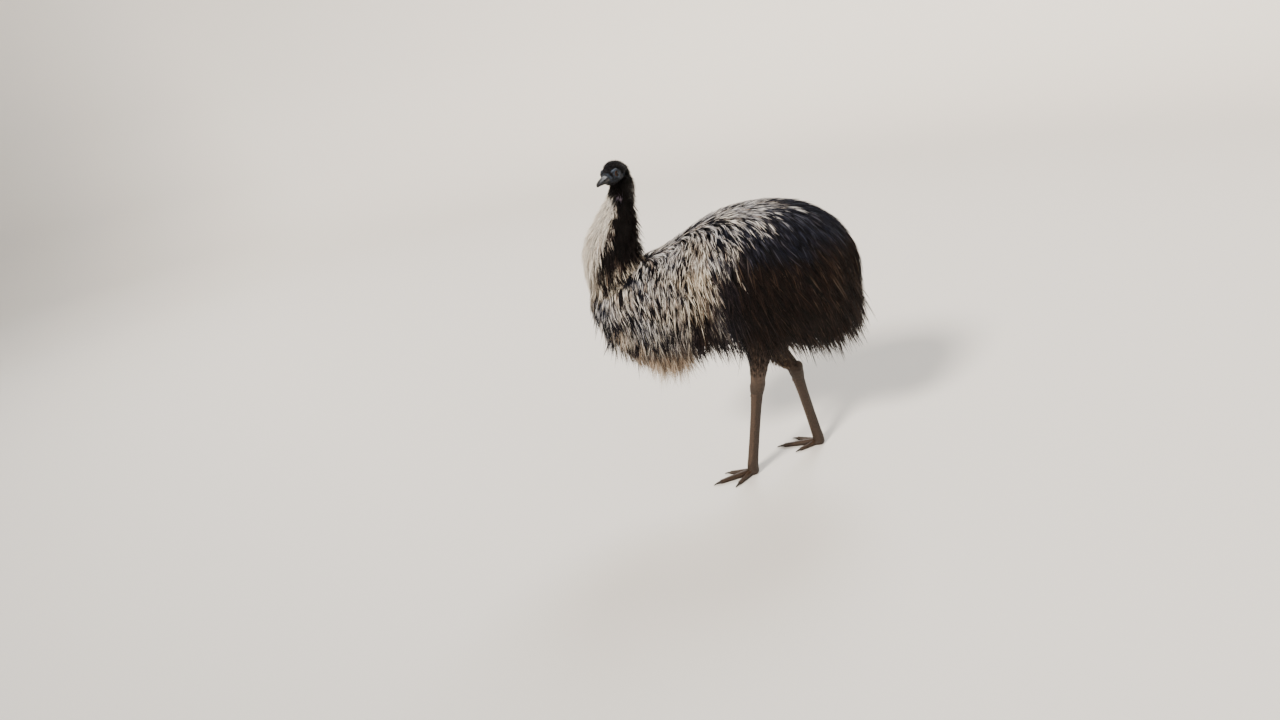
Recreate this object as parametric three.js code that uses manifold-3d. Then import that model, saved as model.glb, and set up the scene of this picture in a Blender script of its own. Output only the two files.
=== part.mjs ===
// A life-size emu in mid-stride, its neck drawn up and its head turned to its left, as a still museum model.
// Millimetres, +Z up. The bird faces -X and its left side is towards -Y. The origin is on the floor, under the
// middle of the whole model's box.
import * as THREE from "three";
import { mergeVertices } from "three/addons/utils/BufferGeometryUtils.js";
import Module from "manifold-3d";

const wasm = await Module();
wasm.setup();

// Clear gap between neighbouring pieces.
const GAP = 0.3;
// Reach of the boxes that trim a piece on one side of a plane.
const FAR = 1500;

// The trunk under the loose feathers: rounded lobes that run into one another, from the breast to the rump.
const TRUNK_LOBES = [
  { centre: new THREE.Vector3(-312, 0, 784), radii: new THREE.Vector3(202, 140, 168) },
  { centre: new THREE.Vector3(-132, 0, 821), radii: new THREE.Vector3(182, 163, 153) },
  { centre: new THREE.Vector3(118, 0, 855), radii: new THREE.Vector3(340, 188, 217) },
  { centre: new THREE.Vector3(300, 0, 780), radii: new THREE.Vector3(188, 158, 165) },
];
const LOBE_BLEND = 55;
const TRUNK_RINGS = 17;
const TRUNK_SIDES = 22;

// The neck's middle line, from inside the breast to the skull, and its half depth at each point: in the flesh
// and fluff, and out to the tips of its feathers. It is a little narrower than deep.
const NECK_LINE = [
  { at: [-400, 0, 870], core: 98, outer: 122 },
  { at: [-409, 0, 950], core: 86, outer: 110 },
  { at: [-401, 0, 1025], core: 75, outer: 104 },
  { at: [-381, 0, 1083], core: 64, outer: 90 },
  { at: [-361, 0, 1135], core: 52, outer: 73 },
  { at: [-342, -2, 1184], core: 42, outer: 55 },
  { at: [-329, -6, 1225], core: 38, outer: 48 },
  { at: [-327, -6, 1268], core: 33, outer: 42 },
];
const NECK_NARROW = 0.88;

// The head: its own frame has x forward, y to the bird's left, z up, and starts at the middle of the skull.
const HEAD_AT = new THREE.Vector3(-347, -18, 1281);
const HEAD_TURN = THREE.MathUtils.degToRad(60);
const HEAD_NOD = THREE.MathUtils.degToRad(3);

// The legs: ankle, toe joint and the thick upper end, and how far the foot is turned out.
const TARSUS_DEPTH = 22;
const TARSUS_WIDTH = 18;
const ANKLE_DEPTH = 31;
const ANKLE_WIDTH = 25;
const TOE_JOINT_HEIGHT = 30;
const LEGS = [
  {
    side: "left",
    thigh: new THREE.Vector3(98, -106, 690),
    shin: new THREE.Vector3(74, -82, 520),
    ankle: new THREE.Vector3(52, -64, 385),
    toes: new THREE.Vector3(-12, -60, TOE_JOINT_HEIGHT),
    turn: THREE.MathUtils.degToRad(14),
  },
  {
    side: "right",
    thigh: new THREE.Vector3(62, 104, 680),
    shin: new THREE.Vector3(150, 80, 500),
    ankle: new THREE.Vector3(228, 56, 368),
    toes: new THREE.Vector3(296, 84, TOE_JOINT_HEIGHT),
    turn: THREE.MathUtils.degToRad(-10),
  },
];

const DOWN = new THREE.Vector3(0, 0, -1);
const UP = new THREE.Vector3(0, 0, 1);

// Finishes.
const finish = (color, roughness) => new THREE.MeshStandardMaterial({ color, roughness, metalness: 0 });
const GREY_PLUMAGE = finish("#7d7264", 0.95);
const DARK_PLUMAGE = finish("#332a25", 0.95);
const NECK_PLUMAGE = finish("#4a443c", 0.95);
const HEAD_PLUMAGE = finish("#17161a", 0.9);
const LEG_SKIN = finish("#6e5748", 0.7);
const LEG_SCALES = finish("#54443a", 0.6);
const HORN = finish("#2a2725", 0.45);
const CLAW_HORN = finish("#221e1b", 0.4);
const EYE_BALL = finish("#5a2c12", 0.1);

// A seeded draw, so that the feathers vary and still come out the same each time.
function seededDraw(seed) {
  let state = seed;
  return () => {
    state = (state * 1664525 + 1013904223) % 4294967296;
    return state / 4294967296;
  };
}

const mix = (a, b, share) => a + (b - a) * share;
const between = (draw, low, high) => mix(low, high, draw());

// Value of a list of [place, value] steps at a place, in straight lines between them.
function stepsAt(steps, place) {
  if (place <= steps[0][0]) return steps[0][1];
  for (let i = 1; i < steps.length; i++) {
    const [x0, y0] = steps[i - 1];
    const [x1, y1] = steps[i];
    if (place <= x1) return mix(y0, y1, (place - x0) / (x1 - x0));
  }
  return steps[steps.length - 1][1];
}

// A closed surface through rings of equally many points. A ring of one point closes an end in a cone, and an end
// ring of more points is closed by a fan.
function loft(rings) {
  const vertices = [];
  const starts = rings.map((ring) => {
    const start = vertices.length / 3;
    ring.forEach((p) => vertices.push(p.x, p.y, p.z));
    return start;
  });
  const faces = [];
  for (let r = 0; r + 1 < rings.length; r++) {
    const [low, high] = [rings[r].length, rings[r + 1].length];
    const sides = Math.max(low, high);
    for (let i = 0; i < sides; i++) {
      const j = (i + 1) % sides;
      const [a, b] = [starts[r] + (i % low), starts[r] + (j % low)];
      const [c, d] = [starts[r + 1] + (i % high), starts[r + 1] + (j % high)];
      if (low > 1) faces.push(a, b, d);
      if (high > 1) faces.push(a, d, c);
    }
  }
  [
    [0, false],
    [rings.length - 1, true],
  ].forEach(([r, last]) => {
    for (let i = 1; i + 1 < rings[r].length; i++) {
      const [a, b, c] = [starts[r], starts[r] + i, starts[r] + i + 1];
      faces.push(...(last ? [a, b, c] : [a, c, b]));
    }
  });
  const made = new THREE.BufferGeometry();
  made.setAttribute("position", new THREE.Float32BufferAttribute(vertices, 3));
  made.setIndex(faces);
  return made;
}

// The signed volume inside a geometry's faces: below zero when they are wound inwards.
function windingOf(geometry) {
  const at = geometry.attributes.position;
  const [a, b, c] = [new THREE.Vector3(), new THREE.Vector3(), new THREE.Vector3()];
  let sum = 0;
  for (let i = 0; i < geometry.index.count; i += 3) {
    a.fromBufferAttribute(at, geometry.index.getX(i));
    b.fromBufferAttribute(at, geometry.index.getX(i + 1));
    c.fromBufferAttribute(at, geometry.index.getX(i + 2));
    sum += a.dot(b.cross(c));
  }
  return sum / 6;
}

// A geometry as a solid that can be joined and cut.
function solidOf(geometry) {
  const bare = geometry.clone();
  bare.deleteAttribute("normal");
  bare.deleteAttribute("uv");
  const merged = mergeVertices(bare, 1e-4);
  const triVerts = new Uint32Array(merged.index.array);
  if (windingOf(merged) < 0) triVerts.reverse();
  const vertProperties = new Float32Array(merged.attributes.position.array);
  return new wasm.Manifold(new wasm.Mesh({ numProp: 3, vertProperties, triVerts }));
}

const solidLoft = (rings) => solidOf(loft(rings));

// The largest of the closed bodies in a solid, without any hollow sealed inside it.
function largestBody(solid) {
  return solid.decompose().sort((a, b) => b.volume() - a.volume())[0];
}

function joined(solids) {
  return solids.reduce((whole, piece) => whole.add(piece));
}

// A named mesh with the solid's surface.
function meshOf(name, solid, material) {
  const body = largestBody(solid).getMesh();
  const made = new THREE.BufferGeometry();
  made.setAttribute("position", new THREE.Float32BufferAttribute(body.vertProperties, 3));
  made.setIndex(Array.from(body.triVerts));
  made.computeVertexNormals();
  const mesh = new THREE.Mesh(made, material);
  mesh.name = name;
  return mesh;
}

// A flat-faced box whose near face lies on the plane through `point`, and which fills the side `towards`.
function sideOfPlane(point, towards) {
  const box = new THREE.BoxGeometry(2 * FAR, 2 * FAR, FAR);
  box.translate(0, 0, FAR / 2);
  box.applyQuaternion(new THREE.Quaternion().setFromUnitVectors(UP, towards.clone().normalize()));
  box.translate(point.x, point.y, point.z);
  return solidOf(box);
}

// An oval ring of points: `across` and `along` are unit directions, with their half sizes.
function oval(centre, across, halfAcross, along, halfAlong, sides) {
  return Array.from({ length: sides }, (_, i) => {
    const turn = (2 * Math.PI * i) / sides;
    return centre
      .clone()
      .addScaledVector(across, halfAcross * Math.cos(turn))
      .addScaledVector(along, halfAlong * Math.sin(turn));
  });
}

// Trunk

// Signed distance to an oval lobe, near enough for shaping.
function lobeDistance(p, lobe) {
  const scaled = p.clone().sub(lobe.centre).divide(lobe.radii);
  const steep = scaled.clone().divide(lobe.radii).length();
  return (scaled.length() * (scaled.length() - 1)) / Math.max(steep, 1e-6);
}

function trunkDistance(p) {
  return TRUNK_LOBES.map((lobe) => lobeDistance(p, lobe)).reduce((a, b) => {
    const near = Math.max(LOBE_BLEND - Math.abs(a - b), 0) / LOBE_BLEND;
    return Math.min(a, b) - (near * near * LOBE_BLEND) / 4;
  });
}

function trunkNormal(p) {
  const step = 0.5;
  const slope = ["x", "y", "z"].map((axis) => {
    const ahead = p.clone();
    const behind = p.clone();
    ahead[axis] += step;
    behind[axis] -= step;
    return trunkDistance(ahead) - trunkDistance(behind);
  });
  return new THREE.Vector3(...slope).normalize();
}

// Height of the trunk's middle line over the floor at a place along it.
const trunkMiddle = (x) => stepsAt(TRUNK_LOBES.map(({ centre }) => [centre.x, centre.z]).sort((a, b) => a[0] - b[0]), x);

// Goes out from a point inside the trunk until the surface is `level` away.
function reachTrunk(from, direction, level) {
  let [inside, outside] = [0, 600];
  for (let i = 0; i < 30; i++) {
    const middle = (inside + outside) / 2;
    if (trunkDistance(from.clone().addScaledVector(direction, middle)) < level) inside = middle;
    else outside = middle;
  }
  return from.clone().addScaledVector(direction, inside);
}

const trunkAxis = (x) => new THREE.Vector3(x, 0, trunkMiddle(x));
const TRUNK_FRONT = reachTrunk(trunkAxis(-300), new THREE.Vector3(-1, 0, 0), 0).x;
const TRUNK_BACK = reachTrunk(trunkAxis(300), new THREE.Vector3(1, 0, 0), 0).x;

// The trunk's surface point at a place along it and an angle round it, from 0 on the back to 180 under the belly.
function trunkPoint(x, angle, level = 0) {
  return reachTrunk(trunkAxis(x), new THREE.Vector3(0, Math.sin(angle), Math.cos(angle)), level);
}

function trunkSolid(level) {
  const rings = [[new THREE.Vector3(TRUNK_FRONT - level, 0, trunkMiddle(TRUNK_FRONT))]];
  for (let r = 1; r < TRUNK_RINGS; r++) {
    const x = mix(TRUNK_FRONT, TRUNK_BACK, (1 - Math.cos((Math.PI * r) / TRUNK_RINGS)) / 2);
    rings.push(
      Array.from({ length: TRUNK_SIDES }, (_, i) => trunkPoint(x, (-2 * Math.PI * i) / TRUNK_SIDES, level)),
    );
  }
  rings.push([new THREE.Vector3(TRUNK_BACK + level, 0, trunkMiddle(TRUNK_BACK))]);
  return solidLoft(rings);
}

// Feather locks

// Shares of a lock's length where it has a ring, its width and thickness there, and how far it has risen.
const LOCK_SHAPE = [
  { at: 0, width: 0.75, thick: 1 },
  { at: 0.14, width: 0.95, thick: 1 },
  { at: 0.46, width: 1, thick: 0.9 },
  { at: 0.8, width: 0.62, thick: 0.5 },
  { at: 1, width: 0, thick: 0 },
];

// A short lock makes do with fewer rings.
const SHORT_LOCK = LOCK_SHAPE.filter(({ at }) => [0, 0.46, 0.8, 1].includes(at));

// A flat lock with a low ridge along its outer face, from places along it with the outward direction at each.
function lockSolid(places, halfWidth, thickness) {
  const rings = places.map(({ point, outward, shape }, i) => {
    if (shape.width === 0) return [point];
    const ahead = places[Math.min(i + 1, places.length - 1)].point;
    const behind = places[Math.max(i - 1, 0)].point;
    const along = ahead.clone().sub(behind).normalize();
    const across = new THREE.Vector3().crossVectors(along, outward).normalize();
    const out = new THREE.Vector3().crossVectors(across, along).normalize();
    return [
      point.clone().addScaledVector(across, -halfWidth * shape.width),
      point.clone().addScaledVector(across, halfWidth * shape.width),
      point.clone().addScaledVector(out, thickness * shape.thick),
    ];
  });
  return solidLoft(rings);
}

// How far back a feather leans as it falls, by its place along the trunk: forward on the breast, back on the rump.
const LEAN_STEPS = [
  [-480, 0.35],
  [-300, 0.12],
  [-50, 0.25],
  [150, 0.5],
  [330, 0.35],
  [480, 0.05],
];
const SUNK = 12;
const CARRIED = -0.05;

// Places along a trunk feather that starts at `root`, falls down the slope of the trunk, rising slowly from it, and
// hangs straight once the trunk turns under.
function fallingPlaces(root, length, rise, twist) {
  const places = [];
  let point = root.clone();
  let heading = DOWN.clone();
  let gone = 0;
  let normal = trunkNormal(point);
  const stride = 8;
  LOCK_SHAPE.forEach((shape) => {
    const { at } = shape;
    while (gone < at * length) {
      const step = Math.min(stride, at * length - gone);
      normal = trunkNormal(point);
      const pull = DOWN.clone().add(new THREE.Vector3(stepsAt(LEAN_STEPS, point.x) + twist, 0, 0));
      if (normal.z > CARRIED) {
        heading = pull.addScaledVector(normal, -pull.dot(normal)).normalize();
        point.addScaledVector(heading, step);
        const wanted = gone / length < LOCK_SHAPE[1].at ? -SUNK / 3 : 2 + rise * gone;
        point.addScaledVector(normal, wanted - trunkDistance(point));
      } else {
        heading.lerp(pull.normalize(), 0.35).normalize();
        point.addScaledVector(heading, step);
      }
      gone += step;
    }
    const outward = new THREE.Vector3(normal.x, normal.y, Math.max(normal.z, 0)).normalize();
    const sunk = at === 0 ? SUNK : 0;
    places.push({ point: point.clone().addScaledVector(normal, -sunk), outward, shape });
  });
  return places;
}

// Points round the trunk where its surface leans outwards by `slant` from level: a closed line from which one tier of
// feathers grows, with a point every `spacing` of its length, the first at `offset` of one spacing.
function tierRoots(slant, spacing, offset) {
  const nearSide = [];
  const stations = 90;
  for (let i = 1; i < stations; i++) {
    const x = mix(TRUNK_FRONT, TRUNK_BACK, (1 - Math.cos((Math.PI * i) / stations)) / 2);
    const slantAt = (angle) => Math.acos(THREE.MathUtils.clamp(trunkNormal(trunkPoint(x, angle)).z, -1, 1));
    let [low, high] = [0, Math.PI];
    if (slantAt(0.001) > slant || slantAt(Math.PI - 0.001) < slant) continue;
    for (let k = 0; k < 18; k++) {
      const middle = (low + high) / 2;
      if (slantAt(middle) < slant) low = middle;
      else high = middle;
    }
    nearSide.push(trunkPoint(x, low));
  }
  const farSide = nearSide.map((p) => new THREE.Vector3(p.x, -p.y, p.z)).reverse();
  const line = new THREE.CatmullRomCurve3([...nearSide, ...farSide], true, "centripetal");
  line.arcLengthDivisions = 600;
  const count = Math.round(line.getLength() / spacing);
  return Array.from({ length: count }, (_, i) => line.getPointAt(((i + offset) / count) % 1));
}

// The tiers of the trunk's feathers, from the parting on the back down to the belly. Angles are from level.
const TRUNK_TIERS = [
  { slant: 14, length: 190, width: 37, spacing: 82 },
  { slant: 37, length: 200, width: 39, spacing: 82 },
  { slant: 60, length: 200, width: 39, spacing: 81 },
  { slant: 83, length: 200, width: 39, spacing: 80 },
  { slant: 108, length: 165, width: 39, spacing: 80 },
];
const LOCK_THICKNESS = 9;
// Every other lock of a tier lies a little higher, so that neighbours overlap without crossing.
const STAGGER = 5;

// The low feathers are longer towards the rump: shares of the tier's length.
const LENGTH_STEPS = [
  [-480, 0.75],
  [-330, 1.0],
  [-120, 1.3],
  [100, 1.5],
  [330, 1.4],
  [480, 1.4],
];

function trunkLocks(keep) {
  const draw = seededDraw(11);
  const locks = [];
  TRUNK_TIERS.forEach(({ slant, length, width, spacing }, tier) => {
    tierRoots(THREE.MathUtils.degToRad(slant), spacing, tier % 2 ? 0.5 : 0).forEach((root, i) => {
      const low = Math.pow(slant / 90, 2);
      const long = length * mix(1, stepsAt(LENGTH_STEPS, root.x), low) * between(draw, 0.88, 1.12);
      const twist = between(draw, -0.12, 0.12);
      const rise = between(draw, 0.11, 0.14);
      const half = width * between(draw, 0.9, 1.1);
      const lifted = root.clone().addScaledVector(trunkNormal(root), (i % 2) * STAGGER);
      if (!keep(root)) return;
      locks.push(lockSolid(fallingPlaces(lifted, long, rise, twist), half, LOCK_THICKNESS));
    });
  });
  return locks;
}

// Neck

const neckCurve = new THREE.CatmullRomCurve3(
  NECK_LINE.map(({ at }) => new THREE.Vector3(...at)),
  false,
  "centripetal",
);
const NECK_SIDES = 16;
const NECK_RINGS = 10;
const NECK_CAP = 15;
const neckSize = (share, kind) => {
  const steps = NECK_LINE.map((stop, i) => [i / (NECK_LINE.length - 1), stop[kind]]);
  return stepsAt(steps, share);
};

// A point on the neck: a share of the way up, an angle round it from the throat, and a half depth there.
function neckPoint(share, angle, half) {
  const centre = neckCurve.getPoint(share);
  const along = neckCurve.getTangent(share).normalize();
  const left = new THREE.Vector3(0, -1, 0);
  const front = new THREE.Vector3().crossVectors(left, along).normalize();
  if (front.x > 0) front.negate();
  return centre
    .addScaledVector(front, half * Math.cos(angle))
    .addScaledVector(left, half * NECK_NARROW * Math.sin(angle));
}

function neckTube(kind, grow) {
  const rings = [];
  for (let r = 0; r <= NECK_RINGS; r++) {
    const share = r / NECK_RINGS;
    rings.push(
      Array.from({ length: NECK_SIDES }, (_, i) =>
        neckPoint(share, (2 * Math.PI * i) / NECK_SIDES, neckSize(share, kind) + grow),
      ),
    );
  }
  // The top is rounded off where it goes into the skull.
  const middle = neckCurve.getPoint(1);
  const upwards = neckCurve.getTangent(1).multiplyScalar(kind === "core" ? NECK_CAP : NECK_CAP + 1 + grow);
  rings.push(rings[NECK_RINGS].map((p) => p.clone().lerp(middle, 0.38).add(upwards)));
  return solidLoft(rings);
}

const NECK_TIERS = [0.84, 0.64, 0.44, 0.24];
const NECK_LOCK_SPACING = 70;
const NECK_LOCK_LENGTH = 0.34;

// Neck feathers lie down the neck and lift towards the outline of the fluff.
function neckLocks() {
  const draw = seededDraw(23);
  const locks = [];
  NECK_TIERS.forEach((share, tier) => {
    const girth = 2 * Math.PI * neckSize(share, "core");
    const count = Math.max(6, Math.round(girth / NECK_LOCK_SPACING));
    for (let i = 0; i < count; i++) {
      const angle = (2 * Math.PI * (i + (tier % 2) / 2 + between(draw, -0.1, 0.1))) / count;
      const long = NECK_LOCK_LENGTH * between(draw, 0.85, 1.1);
      const lift = between(draw, 0.5, 0.85);
      const places = SHORT_LOCK.map((shape) => {
        const { at } = shape;
        const here = Math.max(share - long * at, 0);
        const core = neckSize(here, "core");
        const depth = at === 0 ? -8 : (neckSize(here, "outer") - core) * Math.pow(at, 0.8) * lift - 1 + (i % 2);
        const point = neckPoint(here, angle, core + depth);
        return { point, outward: point.clone().sub(neckCurve.getPoint(here)).normalize(), shape };
      });
      locks.push(lockSolid(places, (0.62 * girth) / count + 2, 5));
    }
  });
  return locks;
}

// Head

const HEAD_SIDES = 16;
// Stations from the back of the skull to the root of the bill: place, half width, height above and depth below.
const SKULL = [
  { x: -50, half: 0, up: 0, down: 0 },
  { x: -46, half: 18, up: 18, down: 16 },
  { x: -34, half: 29, up: 29, down: 26 },
  { x: -10, half: 36, up: 36, down: 34 },
  { x: 13, half: 36.5, up: 37, down: 37 },
  { x: 34, half: 32, up: 33, down: 36 },
  { x: 52, half: 25, up: 25, down: 29 },
  { x: 66, half: 20, up: 15, down: 22 },
  { x: 74, half: 17, up: 10, down: 18 },
];
const BILL_ROOT = 70;
const BILL_TIP = 134;
// From here on the upper half turns down in front of the lower one.
const NAIL = 126.5;
// The mouth line leaves the bill's tip and ends under the front of the eye, falling a little towards the corner.
const MOUTH_AT_TIP = -9;
const MOUTH_AT_CORNER = -9;
const MOUTH_CORNER = 46;

const EYE = { x: 36, y: 26, z: 7, radius: 11.5 };
const EAR = { x: -6, y: 33, z: -7, radius: 5.5 };

function headRing(x, half, up, down, sides) {
  return Array.from({ length: sides }, (_, i) => {
    const turn = (2 * Math.PI * i) / sides;
    const rise = Math.sin(turn);
    return new THREE.Vector3(x, half * Math.cos(turn), (rise > 0 ? up : down) * rise);
  });
}

function skullSolid() {
  const rings = SKULL.map(({ x, half, up, down }) =>
    half === 0 ? [new THREE.Vector3(x, 0, 0)] : headRing(x, half, up, down, HEAD_SIDES),
  );
  return solidLoft(rings);
}

// The skull's surface point under a direction from its middle, with the outward direction there.
function onSkull(x, turn) {
  const size = (kind) => stepsAt(SKULL.map((stop) => [stop.x, stop[kind]]), x);
  const rise = Math.sin(turn);
  const point = new THREE.Vector3(x, size("half") * Math.cos(turn), (rise > 0 ? size("up") : size("down")) * rise);
  const outward = new THREE.Vector3((x - 10) / 60, Math.cos(turn), rise).normalize();
  return { point, outward };
}

// The head's bristly feathers lie back over the crown, the cheeks and the nape.
const CROWN_ROWS = [
  { x: 46, turns: [66, 114], long: 44 },
  { x: 22, turns: [90, 44, 136], long: 48 },
  { x: -2, turns: [68, 112, 22, 158], long: 48 },
  { x: -24, turns: [90, 46, 134, 4, 176], long: 50 },
];

function crownLocks() {
  const draw = seededDraw(37);
  return CROWN_ROWS.flatMap(({ x, turns, long }) =>
    turns.map((degrees) => {
      const turn = THREE.MathUtils.degToRad(degrees + between(draw, -4, 4));
      const length = long * between(draw, 0.9, 1.15);
      const places = SHORT_LOCK.map((shape) => {
        const { at } = shape;
        const here = Math.max(x - length * at, SKULL[0].x + 1);
        const { point, outward } = onSkull(here, turn);
        const past = Math.max(SKULL[0].x + 1 - (x - length * at), 0);
        const lift = at === 0 ? -5 : 1 + 12 * at;
        point.addScaledVector(outward, lift);
        point.x -= 0.6 * past;
        point.z -= 0.8 * past;
        return { point, outward, shape };
      });
      return lockSolid(places, 12, 4);
    }),
  );
}

// A ball stretched along the three axes.
function ball(centre, radii, sides, bands) {
  const made = new THREE.SphereGeometry(1, sides, bands);
  made.scale(radii.x, radii.y, radii.z);
  made.translate(centre.x, centre.y, centre.z);
  return solidOf(made);
}

function eyeCentre(hand, out) {
  return new THREE.Vector3(EYE.x, hand * (EYE.y + out), EYE.z);
}

// The lids stand as a low ring round the eye, longer than it is high.
function lidRing(hand) {
  const ring = new THREE.TorusGeometry(EYE.radius + 0.8, 2.6, 4, 12);
  ring.scale(1.12, 0.95, 1);
  ring.rotateX(Math.PI / 2);
  ring.rotateZ(hand * THREE.MathUtils.degToRad(-16));
  ring.translate(EYE.x - 0.5, hand * (EYE.y + 5.2), EYE.z);
  return solidOf(ring);
}

// A flat wedge along the mouth line, from the corner forwards.
function mouthSlot(thickness) {
  const length = BILL_TIP + 10 - MOUTH_CORNER;
  const slot = new THREE.BoxGeometry(length, 90, thickness);
  slot.translate(length / 2, 0, 0);
  const slope = Math.atan2(MOUTH_AT_TIP - MOUTH_AT_CORNER, BILL_TIP - MOUTH_CORNER);
  slot.rotateY(-slope);
  slot.translate(MOUTH_CORNER, 0, MOUTH_AT_CORNER);
  return solidOf(slot);
}

// The bill's outline at a place along it: half width, and heights of the culmen and of the underside.
function billSize(x) {
  const share = THREE.MathUtils.clamp((x - BILL_ROOT) / (BILL_TIP - BILL_ROOT), 0, 1);
  return {
    half: 17.5 * Math.pow(1 - Math.pow(share, 2.3), 0.55),
    culmen: mix(10.5, -4, Math.pow(share, 1.5)),
    under: mix(-19, -12, Math.pow(share, 0.8)),
  };
}

// One half of the bill. The upper half has a ridge along its middle and a nail that turns down over the lower one.
function billHalf(upper, grow) {
  const places = [BILL_ROOT - 12, 72, 84, 98, 110, 119, ...(upper ? [NAIL, 130, 132.5] : [NAIL - 0.6])];
  const rings = places.map((x) => {
    const { half, culmen, under } = billSize(Math.min(x, 131.5));
    const wide = half * (upper ? 1 : 0.86) + grow;
    const base = MOUTH_AT_TIP + (upper ? -grow : grow) + (upper ? GAP : -GAP) / 2;
    const nail = upper ? THREE.MathUtils.smoothstep(x, NAIL, 132) * 2.6 : 0;
    const far = upper ? culmen + grow : under - grow;
    const sides = 8;
    return Array.from({ length: sides }, (_, i) => {
      const turn = (Math.PI * i) / (sides - 1);
      const bow = Math.pow(Math.sin(turn), upper ? 0.85 : 0.8);
      const edge = 1 - Math.sin(turn);
      const z = mix(base - nail * edge, far, bow);
      return new THREE.Vector3(x, (upper ? 1 : -1) * wide * Math.cos(turn), z);
    });
  });
  return solidLoft(rings);
}

function buildHead() {
  const head = new THREE.Group();
  head.position.copy(HEAD_AT);
  head.rotation.set(0, HEAD_NOD, 0);
  const turned = new THREE.Group();
  turned.rotation.set(0, 0, Math.PI + HEAD_TURN);
  turned.position.copy(HEAD_AT);
  head.position.set(0, 0, 0);
  turned.add(head);
  turned.updateMatrixWorld(true);
  const toHead = head.matrixWorld.clone().invert();

  let skull = joined([skullSolid(), ...crownLocks(), lidRing(1), lidRing(-1)]);
  const neckRoom = neckSocket(GAP);
  skull = skull.subtract(moved(neckRoom, toHead));
  skull = skull.subtract(billHalf(true, GAP)).subtract(billHalf(false, GAP)).subtract(mouthSlot(1.6));
  [1, -1].forEach((hand) => {
    const wide = new THREE.Vector3(1, 1, 1).multiplyScalar(EYE.radius + GAP);
    skull = skull.subtract(ball(eyeCentre(hand, 0), wide, 14, 8));
    const cup = new THREE.Vector3(hand === 1 ? EAR.x : EAR.x, hand * (EAR.y + 2), EAR.z);
    skull = skull.subtract(ball(cup, new THREE.Vector3(EAR.radius, 7, EAR.radius + 1), 8, 6));
  });
  head.add(meshOf("head", skull, HEAD_PLUMAGE));

  let upper = billHalf(true, 0);
  [1, -1].forEach((hand) => {
    const nostril = new THREE.Vector3(97, hand * 12.5, 1);
    upper = upper.subtract(ball(nostril, new THREE.Vector3(7, 4, 2.4), 8, 6));
  });
  head.add(meshOf("bill_upper", upper, HORN));
  head.add(meshOf("bill_lower", billHalf(false, 0), HORN));

  [
    ["left", 1],
    ["right", -1],
  ].forEach(([side, hand]) => {
    const eye = new THREE.Mesh(new THREE.SphereGeometry(EYE.radius, 14, 8), EYE_BALL);
    eye.position.copy(eyeCentre(hand, 0));
    eye.name = "eye_" + side;
    head.add(eye);
  });
  return turned;
}

// A solid moved by a matrix, through its surface.
function moved(solid, matrix) {
  const body = solid.getMesh();
  const made = new THREE.BufferGeometry();
  made.setAttribute("position", new THREE.Float32BufferAttribute(body.vertProperties, 3));
  made.setIndex(Array.from(body.triVerts));
  made.applyMatrix4(matrix);
  return solidOf(made);
}

// The room that the neck keeps for itself, out to its feather tips, between its root plane and the skull.
const NECK_ROOT = new THREE.Vector3(-405, 0, 921);
const NECK_ROOT_UP = new THREE.Vector3(-0.39, 0, 0.92).normalize();
function neckSocket(grow) {
  const room = neckTube("outer", grow);
  const above = sideOfPlane(NECK_ROOT.clone().addScaledVector(NECK_ROOT_UP, -grow), NECK_ROOT_UP);
  return room.intersect(above);
}

// Legs

// A limb through stations: each has a centre, the direction of the limb there, half depth and half width. The
// depth lies in the leg's own fore-and-aft direction.
function limb(stations, forward, sides, grow) {
  const rings = stations.map(({ at, depth, width, bulge }, i) => {
    const ahead = stations[Math.min(i + 1, stations.length - 1)].at;
    const behind = stations[Math.max(i - 1, 0)].at;
    const along = ahead.clone().sub(behind).normalize();
    const across = new THREE.Vector3().crossVectors(along, forward).normalize();
    const fore = new THREE.Vector3().crossVectors(across, along).normalize();
    return Array.from({ length: sides }, (_, k) => {
      const turn = (2 * Math.PI * k) / sides;
      const ahead01 = Math.max(Math.cos(turn), 0);
      const deep = depth + grow + (bulge || 0) * ahead01 * ahead01;
      return at
        .clone()
        .addScaledVector(fore, deep * Math.cos(turn))
        .addScaledVector(across, (width + grow) * Math.sin(turn));
    });
  });
  return solidLoft(rings);
}

function legForward(leg) {
  return new THREE.Vector3(-Math.cos(leg.turn), -Math.sin(leg.turn), 0);
}

// The feathered upper leg, from inside the trunk to just above the ankle.
function thighSolid(leg, grow) {
  const line = new THREE.CatmullRomCurve3([leg.thigh, leg.shin, leg.ankle]);
  const stations = [
    { share: 0, depth: 88, width: 58 },
    { share: 0.12, depth: 86, width: 58 },
    { share: 0.26, depth: 76, width: 53 },
    { share: 0.4, depth: 60, width: 45 },
    { share: 0.54, depth: 46, width: 38 },
    { share: 0.68, depth: 38, width: 32 },
    { share: 0.8, depth: 34, width: 28 },
    { share: 0.9, depth: 32, width: 26 },
  ];
  return limb(
    stations.map(({ share, depth, width }) => ({ at: line.getPoint(share), depth, width })),
    legForward(leg),
    14,
    grow,
  );
}

const SCUTES = 12;

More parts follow.
